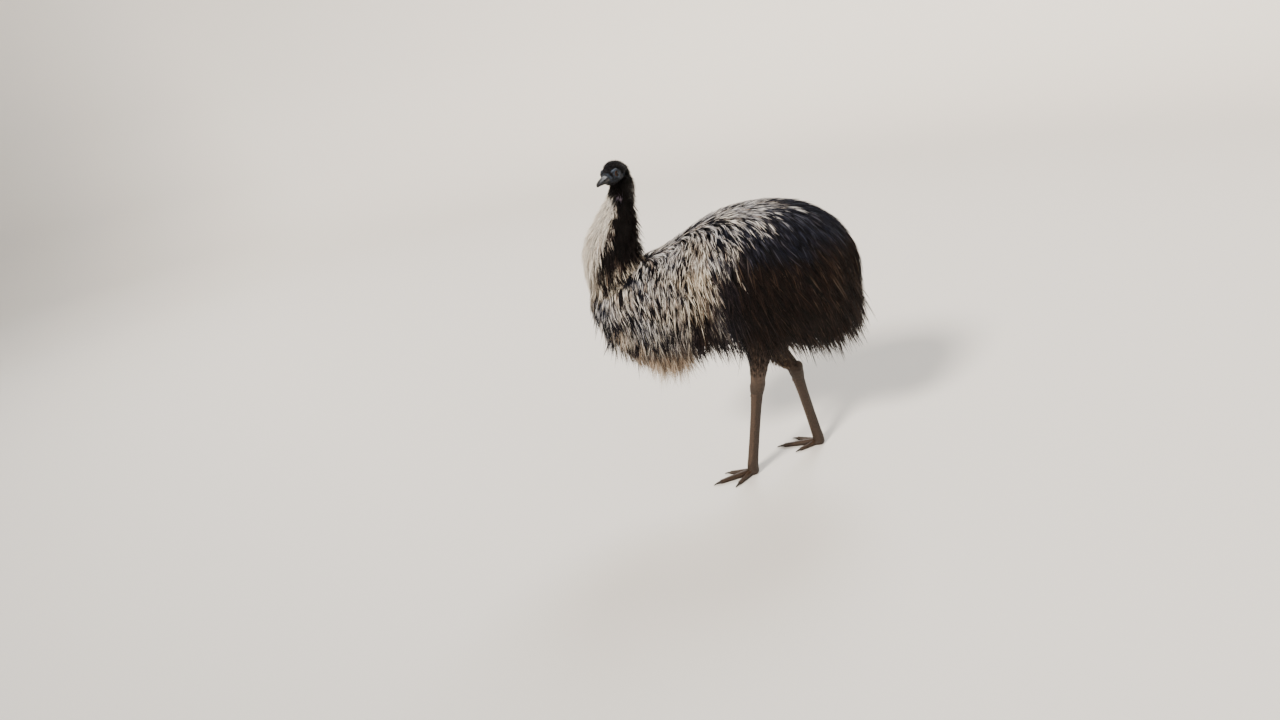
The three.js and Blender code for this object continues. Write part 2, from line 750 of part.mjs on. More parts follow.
// The bare shank: the ankle's knuckle, the long bone, and a row of raised scutes down its front.
function shankSolid(leg) {
  const thighEnd = new THREE.CatmullRomCurve3([leg.thigh, leg.shin, leg.ankle]).getPoint(0.9);
  const towards = leg.ankle.clone().sub(thighEnd).normalize();
  const stations = [
    { at: thighEnd.clone().addScaledVector(towards, GAP), depth: 31.5, width: 25.5 },
    { at: leg.ankle.clone(), depth: ANKLE_DEPTH, width: ANKLE_WIDTH },
    { at: leg.ankle.clone().lerp(leg.toes, 0.07), depth: 28, width: 23 },
  ];
  for (let i = 0; i < SCUTES; i++) {
    const top = mix(0.14, 0.93, i / SCUTES);
    const low = mix(0.14, 0.93, (i + 0.9) / SCUTES);
    [
      [top, 0],
      [low, 2.4],
    ].forEach(([share, bulge]) => {
      const waist = 1 - 0.12 * Math.sin(Math.PI * share);
      stations.push({
        at: leg.ankle.clone().lerp(leg.toes, share),
        depth: TARSUS_DEPTH * waist,
        width: TARSUS_WIDTH * waist,
        bulge,
      });
    });
  }
  stations.push({ at: leg.ankle.clone().lerp(leg.toes, 0.965), depth: 21, width: 19 });
  return limb(stations, legForward(leg), 10, 0);
}

// Toes, in the foot's own frame: x forward from the toe joint, z up, the floor at z = 0.
const TOES = [
  { name: "toe_inner", aim: 31, long: 92, half: 11.5, high: 22 },
  { name: "toe_middle", aim: 0, long: 142, half: 14.5, high: 27 },
  { name: "toe_outer", aim: -31, long: 98, half: 12, high: 23 },
];
// Neighbouring toes part along the line half way between their directions.
const TOE_BORDER = THREE.MathUtils.degToRad(15.5);
const TOE_SCUTES = 5;
const TOE_START = 24;

// A toe lies flat on the floor, with a soft pad under it and scutes across its top.
function toeRing(x, half, high) {
  const outline = [
    [-0.72, 0],
    [-1, 0.3],
    [-0.86, 0.72],
    [-0.4, 0.98],
    [0.4, 0.98],
    [0.86, 0.72],
    [1, 0.3],
    [0.72, 0],
  ];
  return outline.map(([y, z]) => new THREE.Vector3(x, y * half, z * high)).reverse();
}

function toeSolid({ long, half, high }) {
  const rings = [toeRing(TOE_START, half * 1.02, high)];
  for (let i = 0; i < TOE_SCUTES; i++) {
    [
      [0.12, 0],
      [0.92, 1.8],
    ].forEach(([at, raised]) => {
      const share = (i + at) / TOE_SCUTES;
      const taper = 1 - 0.36 * share;
      rings.push(toeRing(mix(TOE_START, long, share), half * taper, high * (1 - 0.42 * share) + raised));
    });
  }
  rings.push(toeRing(long, half * 0.56, high * 0.5));
  return solidLoft(rings);
}

// A blunt claw that carries on from the toe and comes down to just above the floor.
function clawSolid({ long, half, high }) {
  const length = half * 2.3;
  const sides = 8;
  const rings = [0, 0.3, 0.6, 0.85].map((share) => {
    const wide = half * 0.5 * (1 - 0.75 * share);
    const tall = high * 0.24 * (1 - 0.7 * share);
    const middle = mix(high * 0.27, 3.2, share);
    const x = long + GAP + length * share;
    return Array.from({ length: sides }, (_, i) => {
      const turn = (2 * Math.PI * i) / sides;
      return new THREE.Vector3(x, wide * Math.cos(turn), middle + tall * Math.sin(turn));
    });
  });
  rings.push([new THREE.Vector3(long + GAP + length, 0, 2.2)]);
  return solidLoft(rings);
}

// The ball of the foot, where the toes meet under the shank.
function footPad(grow) {
  const rings = [
    [0, 20],
    [5, 25],
    [17, 25],
    [27, 19],
    [31, 13],
  ].map(([z, half]) =>
    oval(
      new THREE.Vector3(1, 0, z),
      new THREE.Vector3(1, 0, 0),
      half + grow,
      new THREE.Vector3(0, 1, 0),
      half * 0.92 + grow,
      14,
    ),
  );
  return solidLoft(rings);
}

function buildLeg(leg, trunkRoom) {
  const made = new THREE.Group();
  const thigh = thighSolid(leg, 0).subtract(trunkRoom);
  made.add(meshOf("thigh_" + leg.side, thigh, LEG_SKIN));

  const foot = new THREE.Group();
  foot.position.set(leg.toes.x, leg.toes.y, 0);
  foot.rotation.set(0, 0, Math.PI + leg.turn);
  foot.updateMatrixWorld(true);
  const pad = footPad(0);
  const shank = shankSolid(leg).subtract(moved(footPad(GAP), foot.matrixWorld));
  made.add(meshOf("shank_" + leg.side, shank, LEG_SCALES));
  foot.add(meshOf("foot_" + leg.side, pad, LEG_SCALES));
  const outward = leg.side === "left" ? 1 : -1;
  TOES.forEach((toe) => {
    const ray = new THREE.Group();
    const aim = -outward * THREE.MathUtils.degToRad(toe.aim);
    ray.rotation.set(0, 0, aim);
    ray.updateMatrixWorld(true);
    const room = moved(footPad(GAP), ray.matrix.clone().invert());
    let solid = toeSolid(toe).subtract(room);
    const borders = aim === 0 ? [TOE_BORDER, -TOE_BORDER] : [-Math.sign(aim) * TOE_BORDER];
    borders.forEach((border) => {
      const inwards = new THREE.Vector3(Math.sin(border), -Math.cos(border), 0).multiplyScalar(Math.sign(border));
      solid = solid.intersect(sideOfPlane(inwards.clone().multiplyScalar(GAP / 2), inwards));
    });
    ray.add(meshOf(toe.name + "_" + leg.side, solid, LEG_SCALES));
    ray.add(meshOf(toe.name.replace("toe", "claw") + "_" + leg.side, clawSolid(toe), CLAW_HORN));
    foot.add(ray);
  });
  made.add(foot);
  return made;
}

// The whole bird

// The rump's long feathers make the tail, parted from the trunk by a slanting cut.
const TAIL_CUT = new THREE.Vector3(330, 0, 900);
const TAIL_TOWARDS = new THREE.Vector3(1, 0, 0.12).normalize();

function buildBird() {
  const bird = new THREE.Group();
  bird.add(buildHead());

  const neck = joined([neckTube("core", 0), ...neckLocks()]).intersect(neckSocket(0));
  bird.add(meshOf("neck", neck, NECK_PLUMAGE));

  const trunkRoom = trunkSolid(GAP);
  const nearNeck = (p) => Math.hypot(p.x - NECK_ROOT.x, p.y) < NECK_LINE[1].outer - 8 && p.z > 912;
  const plumage = trunkLocks((root) => !nearNeck(root));
  let body = joined([trunkSolid(0), ...plumage]).subtract(neckSocket(GAP));
  body = body.subtract(sideOfPlane(NECK_ROOT.clone().setZ(1130), UP));
  LEGS.forEach((leg) => {
    body = body.subtract(thighSolid(leg, GAP).subtract(trunkSolid(-1)));
  });
  const torso = body.intersect(sideOfPlane(TAIL_CUT, TAIL_TOWARDS.clone().negate()));
  const tail = body.intersect(sideOfPlane(TAIL_CUT.clone().addScaledVector(TAIL_TOWARDS, GAP), TAIL_TOWARDS));
  bird.add(meshOf("torso", torso, GREY_PLUMAGE));
  bird.add(meshOf("tail", tail, DARK_PLUMAGE));

  LEGS.forEach((leg) => bird.add(buildLeg(leg, trunkRoom)));

  const box = new THREE.Box3().setFromObject(bird);
  const middle = box.getCenter(new THREE.Vector3());
  bird.position.set(-middle.x, -middle.y, -box.min.z);
  return bird;
}

export default buildBird();
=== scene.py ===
"""A life-size emu in mid-stride, dressed: bare skin, shaggy plumage, bill, eyes, scales and claws.

Everything is modelled in the bird's own place: its body faces -X, its left side is towards -Y and the floor is at
Z = 0. Flesh and horn are sized in millimetres, plumage in metres. finished() then moves each piece to where the
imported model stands.
"""

import math

import bpy
import numpy as np
from mathutils import Matrix, Vector


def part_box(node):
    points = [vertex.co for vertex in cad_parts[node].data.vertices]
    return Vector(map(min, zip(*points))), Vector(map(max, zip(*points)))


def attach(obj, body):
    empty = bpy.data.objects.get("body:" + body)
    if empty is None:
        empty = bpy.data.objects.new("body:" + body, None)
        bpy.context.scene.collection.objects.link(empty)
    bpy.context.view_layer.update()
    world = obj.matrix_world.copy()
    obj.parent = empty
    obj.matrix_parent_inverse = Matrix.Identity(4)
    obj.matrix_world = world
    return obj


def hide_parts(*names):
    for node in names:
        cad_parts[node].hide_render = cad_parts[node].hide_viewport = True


MM = 0.001
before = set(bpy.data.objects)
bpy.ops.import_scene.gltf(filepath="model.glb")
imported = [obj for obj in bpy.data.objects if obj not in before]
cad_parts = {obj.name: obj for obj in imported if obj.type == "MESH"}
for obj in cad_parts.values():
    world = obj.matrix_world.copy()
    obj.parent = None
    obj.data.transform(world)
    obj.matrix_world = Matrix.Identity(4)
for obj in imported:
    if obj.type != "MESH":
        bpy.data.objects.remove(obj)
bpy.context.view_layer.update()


# Named sizes in millimetres, the same as the solids'

# The trunk's rounded lobes: centre and half sizes, from the breast to the rump.
TRUNK_LOBES = [
    ((-312, 0, 784), (202, 140, 168)),
    ((-132, 0, 821), (182, 163, 153)),
    ((118, 0, 855), (340, 188, 217)),
    ((300, 0, 780), (188, 158, 165)),
]
LOBE_BLEND = 55

# The neck's middle line from the breast to the skull, with its half depth in the fluff and out to the feather tips.
NECK_LINE = [
    ((-400, 0, 870), 98, 122),
    ((-409, 0, 950), 86, 110),
    ((-401, 0, 1025), 75, 104),
    ((-381, 0, 1083), 64, 90),
    ((-361, 0, 1135), 52, 73),
    ((-342, -2, 1184), 42, 55),
    ((-329, -6, 1225), 38, 48),
    ((-327, -6, 1268), 33, 42),
]
NECK_NARROW = 0.88
# The skin's share of the neck's depth in the fluff.
NECK_SKIN = 0.62

HEAD_AT = (-347, -18, 1281)
HEAD_TURN = math.radians(60)
HEAD_NOD = math.radians(3)
# Stations of the skull from back to front: place, half width, height above and depth below.
SKULL = [
    (-50, 3, 3, 3),
    (-46, 18, 18, 16),
    (-34, 29, 29, 26),
    (-10, 35, 35, 33),
    (13, 35.5, 36, 36),
    (34, 31, 32, 35),
    (52, 24.5, 24, 28.5),
    (66, 19.5, 15, 21.5),
    (75, 16, 9.5, 17),
]
SKULL_BACK = -47
BILL_ROOT = 58
BILL_TIP = 133.5
LOWER_BILL_TIP = 126
MOUTH_HEIGHT = -9
EYE_AT = (36, 24.5, 7)
EYE_RADIUS = 11.5
EAR_AT = (-6, 33, -7)

# Each leg: thigh, shin and ankle, the toe joint over the floor, how far the foot is turned, and how much fuller
# its drumstick is in front.
LEGS = {
    "left": {
        "line": [(98, -106, 690), (74, -82, 520), (52, -64, 385)], "toes": (-12, -60, 30), "turn": 14, "fuller": 0,
    },
    "right": {
        "line": [(62, 104, 680), (150, 80, 500), (228, 56, 368)], "toes": (296, 84, 30), "turn": -10, "fuller": 9,
    },
}
# Half depth and half width of the drumstick, by the share of the way from the thigh to the ankle.
THIGH_STEPS = [
    (0, 80, 52), (0.12, 80, 52), (0.26, 70, 47), (0.4, 55, 40),
    (0.54, 42, 34), (0.68, 35, 29), (0.8, 32, 26), (0.95, 29, 23),
]
# Half depth and half width of the shank, by the share of the way from the ankle to the toe joint.
SHANK_STEPS = [
    (0.06, 29, 24), (0.13, 23.5, 19.5), (0.3, 20.8, 17.4), (0.6, 20.2, 16.8), (0.85, 21, 18), (0.97, 22.4, 20.4),
]
TOES = [
    {"name": "inner", "aim": 31, "long": 92, "half": 11.5, "high": 22},
    {"name": "middle", "aim": 0, "long": 142, "half": 14.5, "high": 27},
    {"name": "outer", "aim": -31, "long": 98, "half": 12, "high": 23},
]
# How much a toe slims and sinks from its root to its tip, and where its middle lies in its height.
TOE_SLIMS, TOE_SINKS, TOE_MIDDLE = 0.34, 0.4, 0.44

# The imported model's origin is under the middle of its box, so the bird is set over by what its left foot shows.
foot_low, foot_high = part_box("foot_left")
left_turn = math.radians(LEGS["left"]["turn"])
foot_x = (LEGS["left"]["toes"][0] - math.cos(left_turn)) * MM
foot_y = (LEGS["left"]["toes"][1] - math.sin(left_turn)) * MM
SET_OVER = Vector(((foot_low[0] + foot_high[0]) / 2 - foot_x, (foot_low[1] + foot_high[1]) / 2 - foot_y, 0))

draw = np.random.default_rng(5)


# Small helpers


def srgb(code):
    """A hex colour as linear red, green, blue and alpha."""
    parts = [int(code[i : i + 2], 16) / 255 for i in (1, 3, 5)]
    return [c / 12.92 if c <= 0.04045 else ((c + 0.055) / 1.055) ** 2.4 for c in parts] + [1.0]


def smooth(low, high, value):
    """Rises smoothly from 0 to 1 as value goes from low to high."""
    share = np.clip((value - low) / (high - low), 0, 1)
    return share * share * (3 - 2 * share)


def stepped(steps, at, column=1):
    """A column's value between the steps of a table whose first column is the place."""
    table = np.array(steps)
    return np.interp(at, table[:, 0], table[:, column])


def bell(value, middle, width):
    """1 at the middle, falling softly to nothing about two widths away."""
    return np.exp(-(((value - middle) / width) ** 2))


def beside(*parts):
    """Parts of places, directions or maps side by side, each an array or one number for all."""
    return np.stack(np.broadcast_arrays(*parts), axis=-1)


def unit(vectors):
    """Each row at length 1."""
    return vectors / np.maximum(np.linalg.norm(vectors, axis=-1, keepdims=True), 1e-9)


def deselect():
    """Leaves nothing selected, because an operator acts on all that is."""
    bpy.ops.object.select_all(action="DESELECT")


def choose(*objects):
    """Selects these objects alone and makes the first the active one."""
    deselect()
    for obj in objects:
        obj.select_set(True)
    bpy.context.view_layer.objects.active = objects[0]


def applied(obj, kind, **settings):
    """Adds a modifier with these settings and applies it."""
    choose(obj)
    modifier = obj.modifiers.new(kind.lower(), kind)
    for key, value in settings.items():
        setattr(modifier, key, value)
    bpy.ops.object.modifier_apply(modifier=modifier.name)
    return obj


def reshaped(obj, operator, **settings):
    """Runs an edit mode operator on all of a mesh."""
    choose(obj)
    bpy.ops.object.mode_set(mode="EDIT")
    bpy.ops.mesh.select_all(action="SELECT")
    operator(**settings)
    bpy.ops.object.mode_set(mode="OBJECT")
    return obj


def smoothed(obj, degrees):
    """Shades a mesh smooth, but for edges sharper than this."""
    choose(obj)
    bpy.ops.object.shade_smooth_by_angle(angle=math.radians(degrees))
    return obj


def placed(obj, matrix=Matrix.Identity(4)):
    """Moves an object by a matrix and leaves its place in its mesh."""
    obj.matrix_world = matrix @ obj.matrix_world
    choose(obj)
    bpy.ops.object.transform_apply(location=True, rotation=True, scale=True)
    return obj


def joined(objects):
    """Several objects as one."""
    choose(*objects)
    if len(objects) > 1:
        bpy.ops.object.join()
    return objects[0]


def finished(obj, name, material, replaced=()):
    """Names a piece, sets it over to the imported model's place and ties it to the bird."""
    placed(obj, Matrix.Translation(SET_OVER))
    obj.name = obj.data.name = name
    obj.data.materials.clear()
    obj.data.materials.append(material)
    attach(obj, "root")
    if replaced:
        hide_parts(*replaced)


def sleeve(stations, sides=24, along="Z"):
    """A closed tube through stations of (centre, half size, half size), extruded ring by ring up Z or along X.

    Across a tube up Z the half sizes lie on X and Y, and across one along X they lie on Y and Z.
    """
    up = along == "Z"
    points = [Vector(centre) * MM for centre, _, _ in stations]
    scales = [Vector((a * MM, b * MM, 1) if up else (1, a * MM, b * MM)) for _, a, b in stations]
    turn = (0, 0 if up else math.pi / 2, 0)
    deselect()
    bpy.ops.mesh.primitive_circle_add(vertices=sides, radius=1, fill_type="NGON", location=points[0], rotation=turn)
    tube = bpy.context.object
    bpy.ops.object.mode_set(mode="EDIT")
    bpy.ops.mesh.select_all(action="SELECT")
    bpy.ops.transform.resize(value=scales[0], center_override=points[0])
    for i in range(1, len(stations)):
        bpy.ops.mesh.extrude_region_move(TRANSFORM_OT_translate={"value": points[i] - points[i - 1]})
        ratio = [new / old for new, old in zip(scales[i], scales[i - 1])]
        bpy.ops.transform.resize(value=ratio, center_override=points[i])
    bpy.ops.object.mode_set(mode="OBJECT")
    return placed(reshaped(tube, bpy.ops.mesh.normals_make_consistent, inside=False))


def lump(centre, halves, turn=(0, 0, 0), segments=32):
    """A ball stretched along its own axes, as flesh to be joined into a skin."""
    place, size = Vector(centre) * MM, Vector(halves) * MM
    rings = segments // 2
    deselect()
    bpy.ops.mesh.primitive_uv_sphere_add(
        segments=segments, ring_count=rings, radius=1, location=place, rotation=turn, scale=size
    )
    return placed(bpy.context.object)


def rim(centre, radius, thickness, turn, stretch):
    """A rounded ring, such as an eyelid."""
    deselect()
    bpy.ops.mesh.primitive_torus_add(
        major_radius=radius * MM,
        minor_radius=thickness * MM,
        major_segments=40,
        minor_segments=12,
        location=Vector(centre) * MM,
        rotation=turn,
    )
    bpy.context.object.scale = stretch
    return placed(bpy.context.object)


def grown_together(objects, grain, rounds):
    """Fuses overlapping lumps and tubes into one even skin and smooths where they meet."""
    body = joined(objects)
    applied(body, "REMESH", mode="VOXEL", voxel_size=grain * MM, adaptivity=0.0, use_smooth_shade=True)
    return applied(body, "SMOOTH", factor=0.5, iterations=rounds)


def thinned(obj, share):
    """Keeps this share of the object's triangles where its shape needs them least."""
    return applied(obj, "DECIMATE", ratio=share)


def cut_away(obj, cutter):
    """Takes one object's shape out of another."""
    applied(obj, "BOOLEAN", object=cutter, operation="DIFFERENCE", solver="EXACT")
    bpy.data.objects.remove(cutter)


def corners(obj):
    """The object's vertices as an array of places."""
    flat = np.empty(len(obj.data.vertices) * 3)
    obj.data.vertices.foreach_get("co", flat)
    return flat.reshape(-1, 3)


def give(obj, name, values):
    """Stores a number for each vertex under a name that a material can read."""
    layer = obj.data.attributes.new(name, "FLOAT", "POINT")
    layer.data.foreach_set("value", np.asarray(values, dtype=np.float32))


def mesh_from(name, vertices, faces):
    """A mesh object from an array of places and an array of triangles."""
    mesh = bpy.data.meshes.new(name)
    mesh.vertices.add(len(vertices))
    mesh.vertices.foreach_set("co", vertices.astype(np.float32).ravel())
    mesh.loops.add(len(faces) * 3)
    mesh.loops.foreach_set("vertex_index", faces.astype(np.int32).ravel())
    mesh.polygons.add(len(faces))
    mesh.polygons.foreach_set("loop_start", np.arange(0, len(faces) * 3, 3, dtype=np.int32))
    mesh.polygons.foreach_set("use_smooth", np.ones(len(faces), dtype=bool))
    mesh.update(calc_edges=True)
    obj = bpy.data.objects.new(name, mesh)
    bpy.context.collection.objects.link(obj)
    return obj


# The trunk as a field of distances, for growing feathers over it

LOBES = [(np.array(centre) * MM, np.array(halves) * MM) for centre, halves in TRUNK_LOBES]
DOWN = np.array([0.0, 0.0, -1.0])


def mottle(points, size, kinds=5):
    """A soft irregular pattern, about -1 to 1, with patches of this size."""
    total = 0
    for _ in range(kinds):
        way = unit(draw.normal(0, 1, 3)) * math.pi / size * draw.uniform(0.7, 1.5)
        total = total + np.sin(points @ way + draw.uniform(0, 2 * math.pi))
    return total / math.sqrt(kinds)


def trunk_level(points):
    """How far each point is outside the trunk under its loose feathers."""
    blend, result = LOBE_BLEND * MM, np.inf
    for centre, halves in LOBES:
        scaled = (points - centre) / halves
        far = np.linalg.norm(scaled, axis=-1)
        steep = np.linalg.norm(scaled / halves, axis=-1)
        level = far * (far - 1) / np.maximum(steep, 1e-6)
        near = np.maximum(blend - np.abs(result - level), 0) / blend
        result = np.minimum(result, level) - near * near * blend / 4
    return result


def trunk_out(points):
    """The outward direction of the trunk's surface at each point."""
    steps = 0.5 * MM * np.eye(3)
    return unit(np.stack([trunk_level(points + s) - trunk_level(points - s) for s in steps], axis=-1))


def trunk_point(x, angle, level):
    """The surface point at a place along the trunk and an angle round it, 0 on the back and pi under the belly."""
    start = beside(x, 0, stepped(sorted((c[0], c[2]) for c, _ in LOBES), x))
    way = beside(0, np.sin(angle), np.cos(angle))
    low, high = np.zeros_like(x), np.full_like(x, 0.6)
    for _ in range(22):
        half = (low + high) / 2
        inside = trunk_level(start + way * half[..., None]) < level
        low, high = np.where(inside, half, low), np.where(inside, high, half)
    return start + way * low[..., None]


# The strides of the evenest scatter in two directions.
STRIDES = (0.7548776662466927, 0.5698402909980532)


def spread(count):
    """Evenly scattered pairs of numbers from 0 to 1."""
    return np.arange(1, count + 1)[:, None] * np.array(STRIDES) % 1


# Plumage: every plume is a path of places, and every strand of it a thin, ridged, tapered blade

WIDTH_STEPS = [(0, 0.55), (0.15, 0.9), (0.4, 1.0), (0.7, 0.8), (0.88, 0.45), (1, 0.12)]
RINGS, SHORTER, RIDGE = 5, 0.25, 0.55


def strands_of(paths, outs, per_plume, fan_mm, half_mm, stray_mm):
    """Splits each plume's path into strands that fan out a little and stray at their tips.

    The sizes are one for all plumes or one for each. Gives the strands' places, outward directions and half
    widths, which plume each belongs to, and how far out in it each lies.
    """
    plumes, stops, _ = paths.shape
    owner = np.repeat(np.arange(plumes), per_plume)
    total = len(owner)
    fan_mm, half_mm, stray_mm = [np.broadcast_to(v, plumes)[owner][:, None] * MM for v in (fan_mm, half_mm, stray_mm)]
    share = np.linspace(0, 1, RINGS)
    length = 1 - SHORTER * draw.random(total)
    place = share[None, :] * length[:, None] * (stops - 1)
    index = np.minimum(place.astype(int), stops - 2)
    blend = (place - index)[..., None]
    rows = np.arange(total)[:, None]
    line, out = paths[owner], outs[owner]
    points = line[rows, index] * (1 - blend) + line[rows, index + 1] * blend
    normals = unit(out[rows, index] * (1 - blend) + out[rows, index + 1] * blend)
    side = unit(np.cross(unit(np.gradient(points, axis=1)), normals))
    slot = np.tile(np.linspace(-1, 1, per_plume), plumes) + draw.normal(0, 0.22, total)
    fan = fan_mm * (0.3 + 1.3 * share - 0.7 * share**2)
    stray = stray_mm * share**2
    across = slot[:, None] * fan + draw.normal(0, 1, total)[:, None] * stray
    lift = draw.uniform(-0.3, 0.55, total)[:, None] * (0.3 + share) * fan_mm
    lift = lift + draw.normal(0, 0.45, total)[:, None] * stray
    points = points + side * across[..., None] + normals * lift[..., None]
    half = half_mm * draw.uniform(0.75, 1.25, total)[:, None] * stepped(WIDTH_STEPS, share)
    return points, normals, half, owner, np.abs(slot)


def coat_piece(name, points, normals, half, root_map, facts):
    """One mesh of closed blades with three edges, each with a small patch of the coat's map at its root's place."""
    total, rings, _ = points.shape
    along = unit(np.gradient(points, axis=1))
    side = unit(np.cross(along, normals))
    out = unit(np.cross(side, along))
    half = half[..., None]
    edges = [points - side * half, points + side * half, points + out * half * RIDGE]
    tube = np.stack(edges, axis=2)[:, :-1].reshape(total, -1, 3)
    vertices = np.concatenate([tube, points[:, -1:]], axis=1)
    each = vertices.shape[1]
    faces = [(0, 1, 2)]
    for ring in range(rings - 2):
        for k in range(3):
            a, b = 3 * ring + k, 3 * ring + (k + 1) % 3
            faces += [(a, a + 3, b), (b, a + 3, b + 3)]
    last = 3 * (rings - 2)
    faces += [(last + k, each - 1, last + (k + 1) % 3) for k in range(3)]
    all_faces = (np.array(faces)[None] + (np.arange(total) * each)[:, None, None]).reshape(-1, 3)
    obj = mesh_from(name, vertices.reshape(-1, 3), all_faces)
    share = np.append(np.repeat(np.linspace(0, 1, rings)[:-1], 3), 1.0)
    give(obj, "along", np.tile(share, total))
    for key, values in facts.items():
        give(obj, key, np.repeat(values, each))
    across = np.append(np.tile([0.0, 1.0, 0.5], rings - 1), 0.5)
    patch = beside(across, share) * 0.003
    place = (root_map[:, None, :] * 0.99 + 0.003 + patch[None]).reshape(-1, 2)
    layer = obj.data.uv_layers.new(name="OFBake")
    layer.data.foreach_set("uv", place[all_faces.ravel()].astype(np.float32).ravel())
    return obj


def coat(name, plumes, strands, tone, cool=0.0, edges=0.0, brown=0.0):
    """A piece of plumage from its plumes' paths, outward directions and map.

    strands = (number, fan, half width, stray). Outer strands are darker by edges. cool turns a plume blue-grey and
    brown keeps it tan.
    """
    paths, outs, root_map = plumes
    cool, brown = np.broadcast_to(cool, len(tone)), np.broadcast_to(brown, len(tone))
    points, normals, half, owner, off = strands_of(paths, outs, *strands)
    low, high = root_map.min(axis=0), root_map.max(axis=0)
    own_map = ((root_map - low) / (high - low))[owner] * 0.985 + draw.random((len(owner), 2)) * 0.012
    own_tone = tone[owner] * (1.05 - edges * smooth(0.62, 0.95, off)) + draw.normal(0, 0.05, len(owner))
    chance = draw.random(len(owner)) * (1 - brown[owner])
    facts = {"tone": np.clip(own_tone, 0, 1), "cool": cool[owner], "chance": chance}
    obj = coat_piece(name, points, normals, half, own_map, facts)
    # The head's plumes are made in the head's own frame.
    if name == "plumage_head":
        placed(obj, HEAD_PLACE)
    finished(obj, name, plume)


def grown(rings, ring):
    """Plumes' paths and outward directions, from a function that gives both at a share of the way out."""
    return [np.stack(part, axis=1) for part in zip(*(ring(k / (rings - 1)) for k in range(rings)))]


# Trunk

# Where the streaky grey front gives way to the dark rear, by height; the dark rear is partly the plumage's own colour
# and partly painted shade.
BORDER_STEPS = [
    (0.6, -0.25), (0.7, -0.17), (0.76, -0.1), (0.82, -0.07), (0.9, -0.04), (0.945, 0.01), (0.975, 0.07), (1.02, 0.17),
]
# How long a low plume is, as a share of the others, and how far back low and high plumes lean, by their place.
LENGTH_STEPS = [(-0.48, 0.8), (-0.33, 1.05), (-0.12, 1.5), (0.08, 1.75), (0.33, 1.55), (0.48, 1.35)]
LEAN_STEPS = [(-0.49, -0.1), (-0.44, 0.2), (-0.3, 0.1), (-0.05, 0.2), (0.15, 0.45), (0.33, 0.35), (0.48, 0.05)]
SHOULDER_STEPS = [(-0.48, 0.0), (-0.3, -0.16), (-0.2, -0.1), (-0.08, 0.15), (0.05, 0.4), (0.3, 0.4), (0.48, 0.1)]
# How far a plume's tip stands off the trunk for its length, lowest and highest.
RISE = (0.085, 0.155)
# Where plumes grow along the trunk, and how deep their roots lie under its surface.
TRUNK_FRONT, TRUNK_REAR = -0.505, 0.485
ROOT_DEPTH = 0.022
# No trunk plume is rooted inside the neck's fluff, this near to its root.
NECK_ROOT, NECK_CLEAR = np.array([-0.402, 0, 0.93]), 0.075


def paleness(x, z, fuzz=0.0):
    """1 over the streaky front of the trunk and 0 over its dark rear, with a soft border, partly painted light and
    shade.
    """
    return smooth(0.045, -0.045, x - stepped(BORDER_STEPS, z) + fuzz)


def fringe(x, z):
    """1 in the soft tan fringe under the breast and 0 away from it."""
    return smooth(0.645, 0.6, z) * smooth(-0.45, -0.4, x) * smooth(-0.15, -0.2, x)


def leaning(points, normal):
    """How far back the plumes lean: forward on the shoulder, and straight back along the spine."""
    high = smooth(0.78, 0.92, points[:, 2])
    low_lean, high_lean = stepped(LEAN_STEPS, points[:, 0]), stepped(SHOULDER_STEPS, points[:, 0])
    spine = smooth(0.72, 0.96, normal[:, 2]) * smooth(-0.36, -0.22, points[:, 0])
    return low_lean * (1 - high) + high_lean * high + 0.95 * spine


def trunk_roots(count):
    """Where the trunk's plumes are rooted: place along it and angle round it, denser over the streaky front."""
    xs, angles = np.linspace(TRUNK_FRONT, TRUNK_REAR, 110), np.linspace(0, 2 * math.pi, 121)
    grid = trunk_point(*np.meshgrid(xs, angles, indexing="ij"), -0.02)
    across = np.linalg.norm(np.diff(grid, axis=1), axis=-1)[:-1]
    length = np.linalg.norm(np.diff(grid, axis=0), axis=-1)[:, :-1]
    slant = trunk_out(grid)[:-1, :-1, 2]
    front = paleness(grid[:-1, :-1, 0], grid[:-1, :-1, 2])
    area = across * length * (0.3 + 0.7 * smooth(-0.75, -0.25, slant)) * (1 + 1.4 * front) + 1e-12
    pairs = spread(count)
    rows = np.cumsum(area.sum(axis=1))
    at_row = np.interp(pairs[:, 0], np.append(0, rows / rows[-1]), np.arange(len(rows) + 1))
    row = np.minimum(at_row.astype(int), len(xs) - 2)
    columns = np.cumsum(area, axis=1) / area.sum(axis=1, keepdims=True)
    columns = np.concatenate([np.zeros((len(columns), 1)), columns], axis=1)
    at_angle = np.array([np.interp(v, columns[r], angles) for v, r in zip(pairs[:, 1], row)])
    return np.interp(at_row, np.arange(len(xs)), xs), at_angle


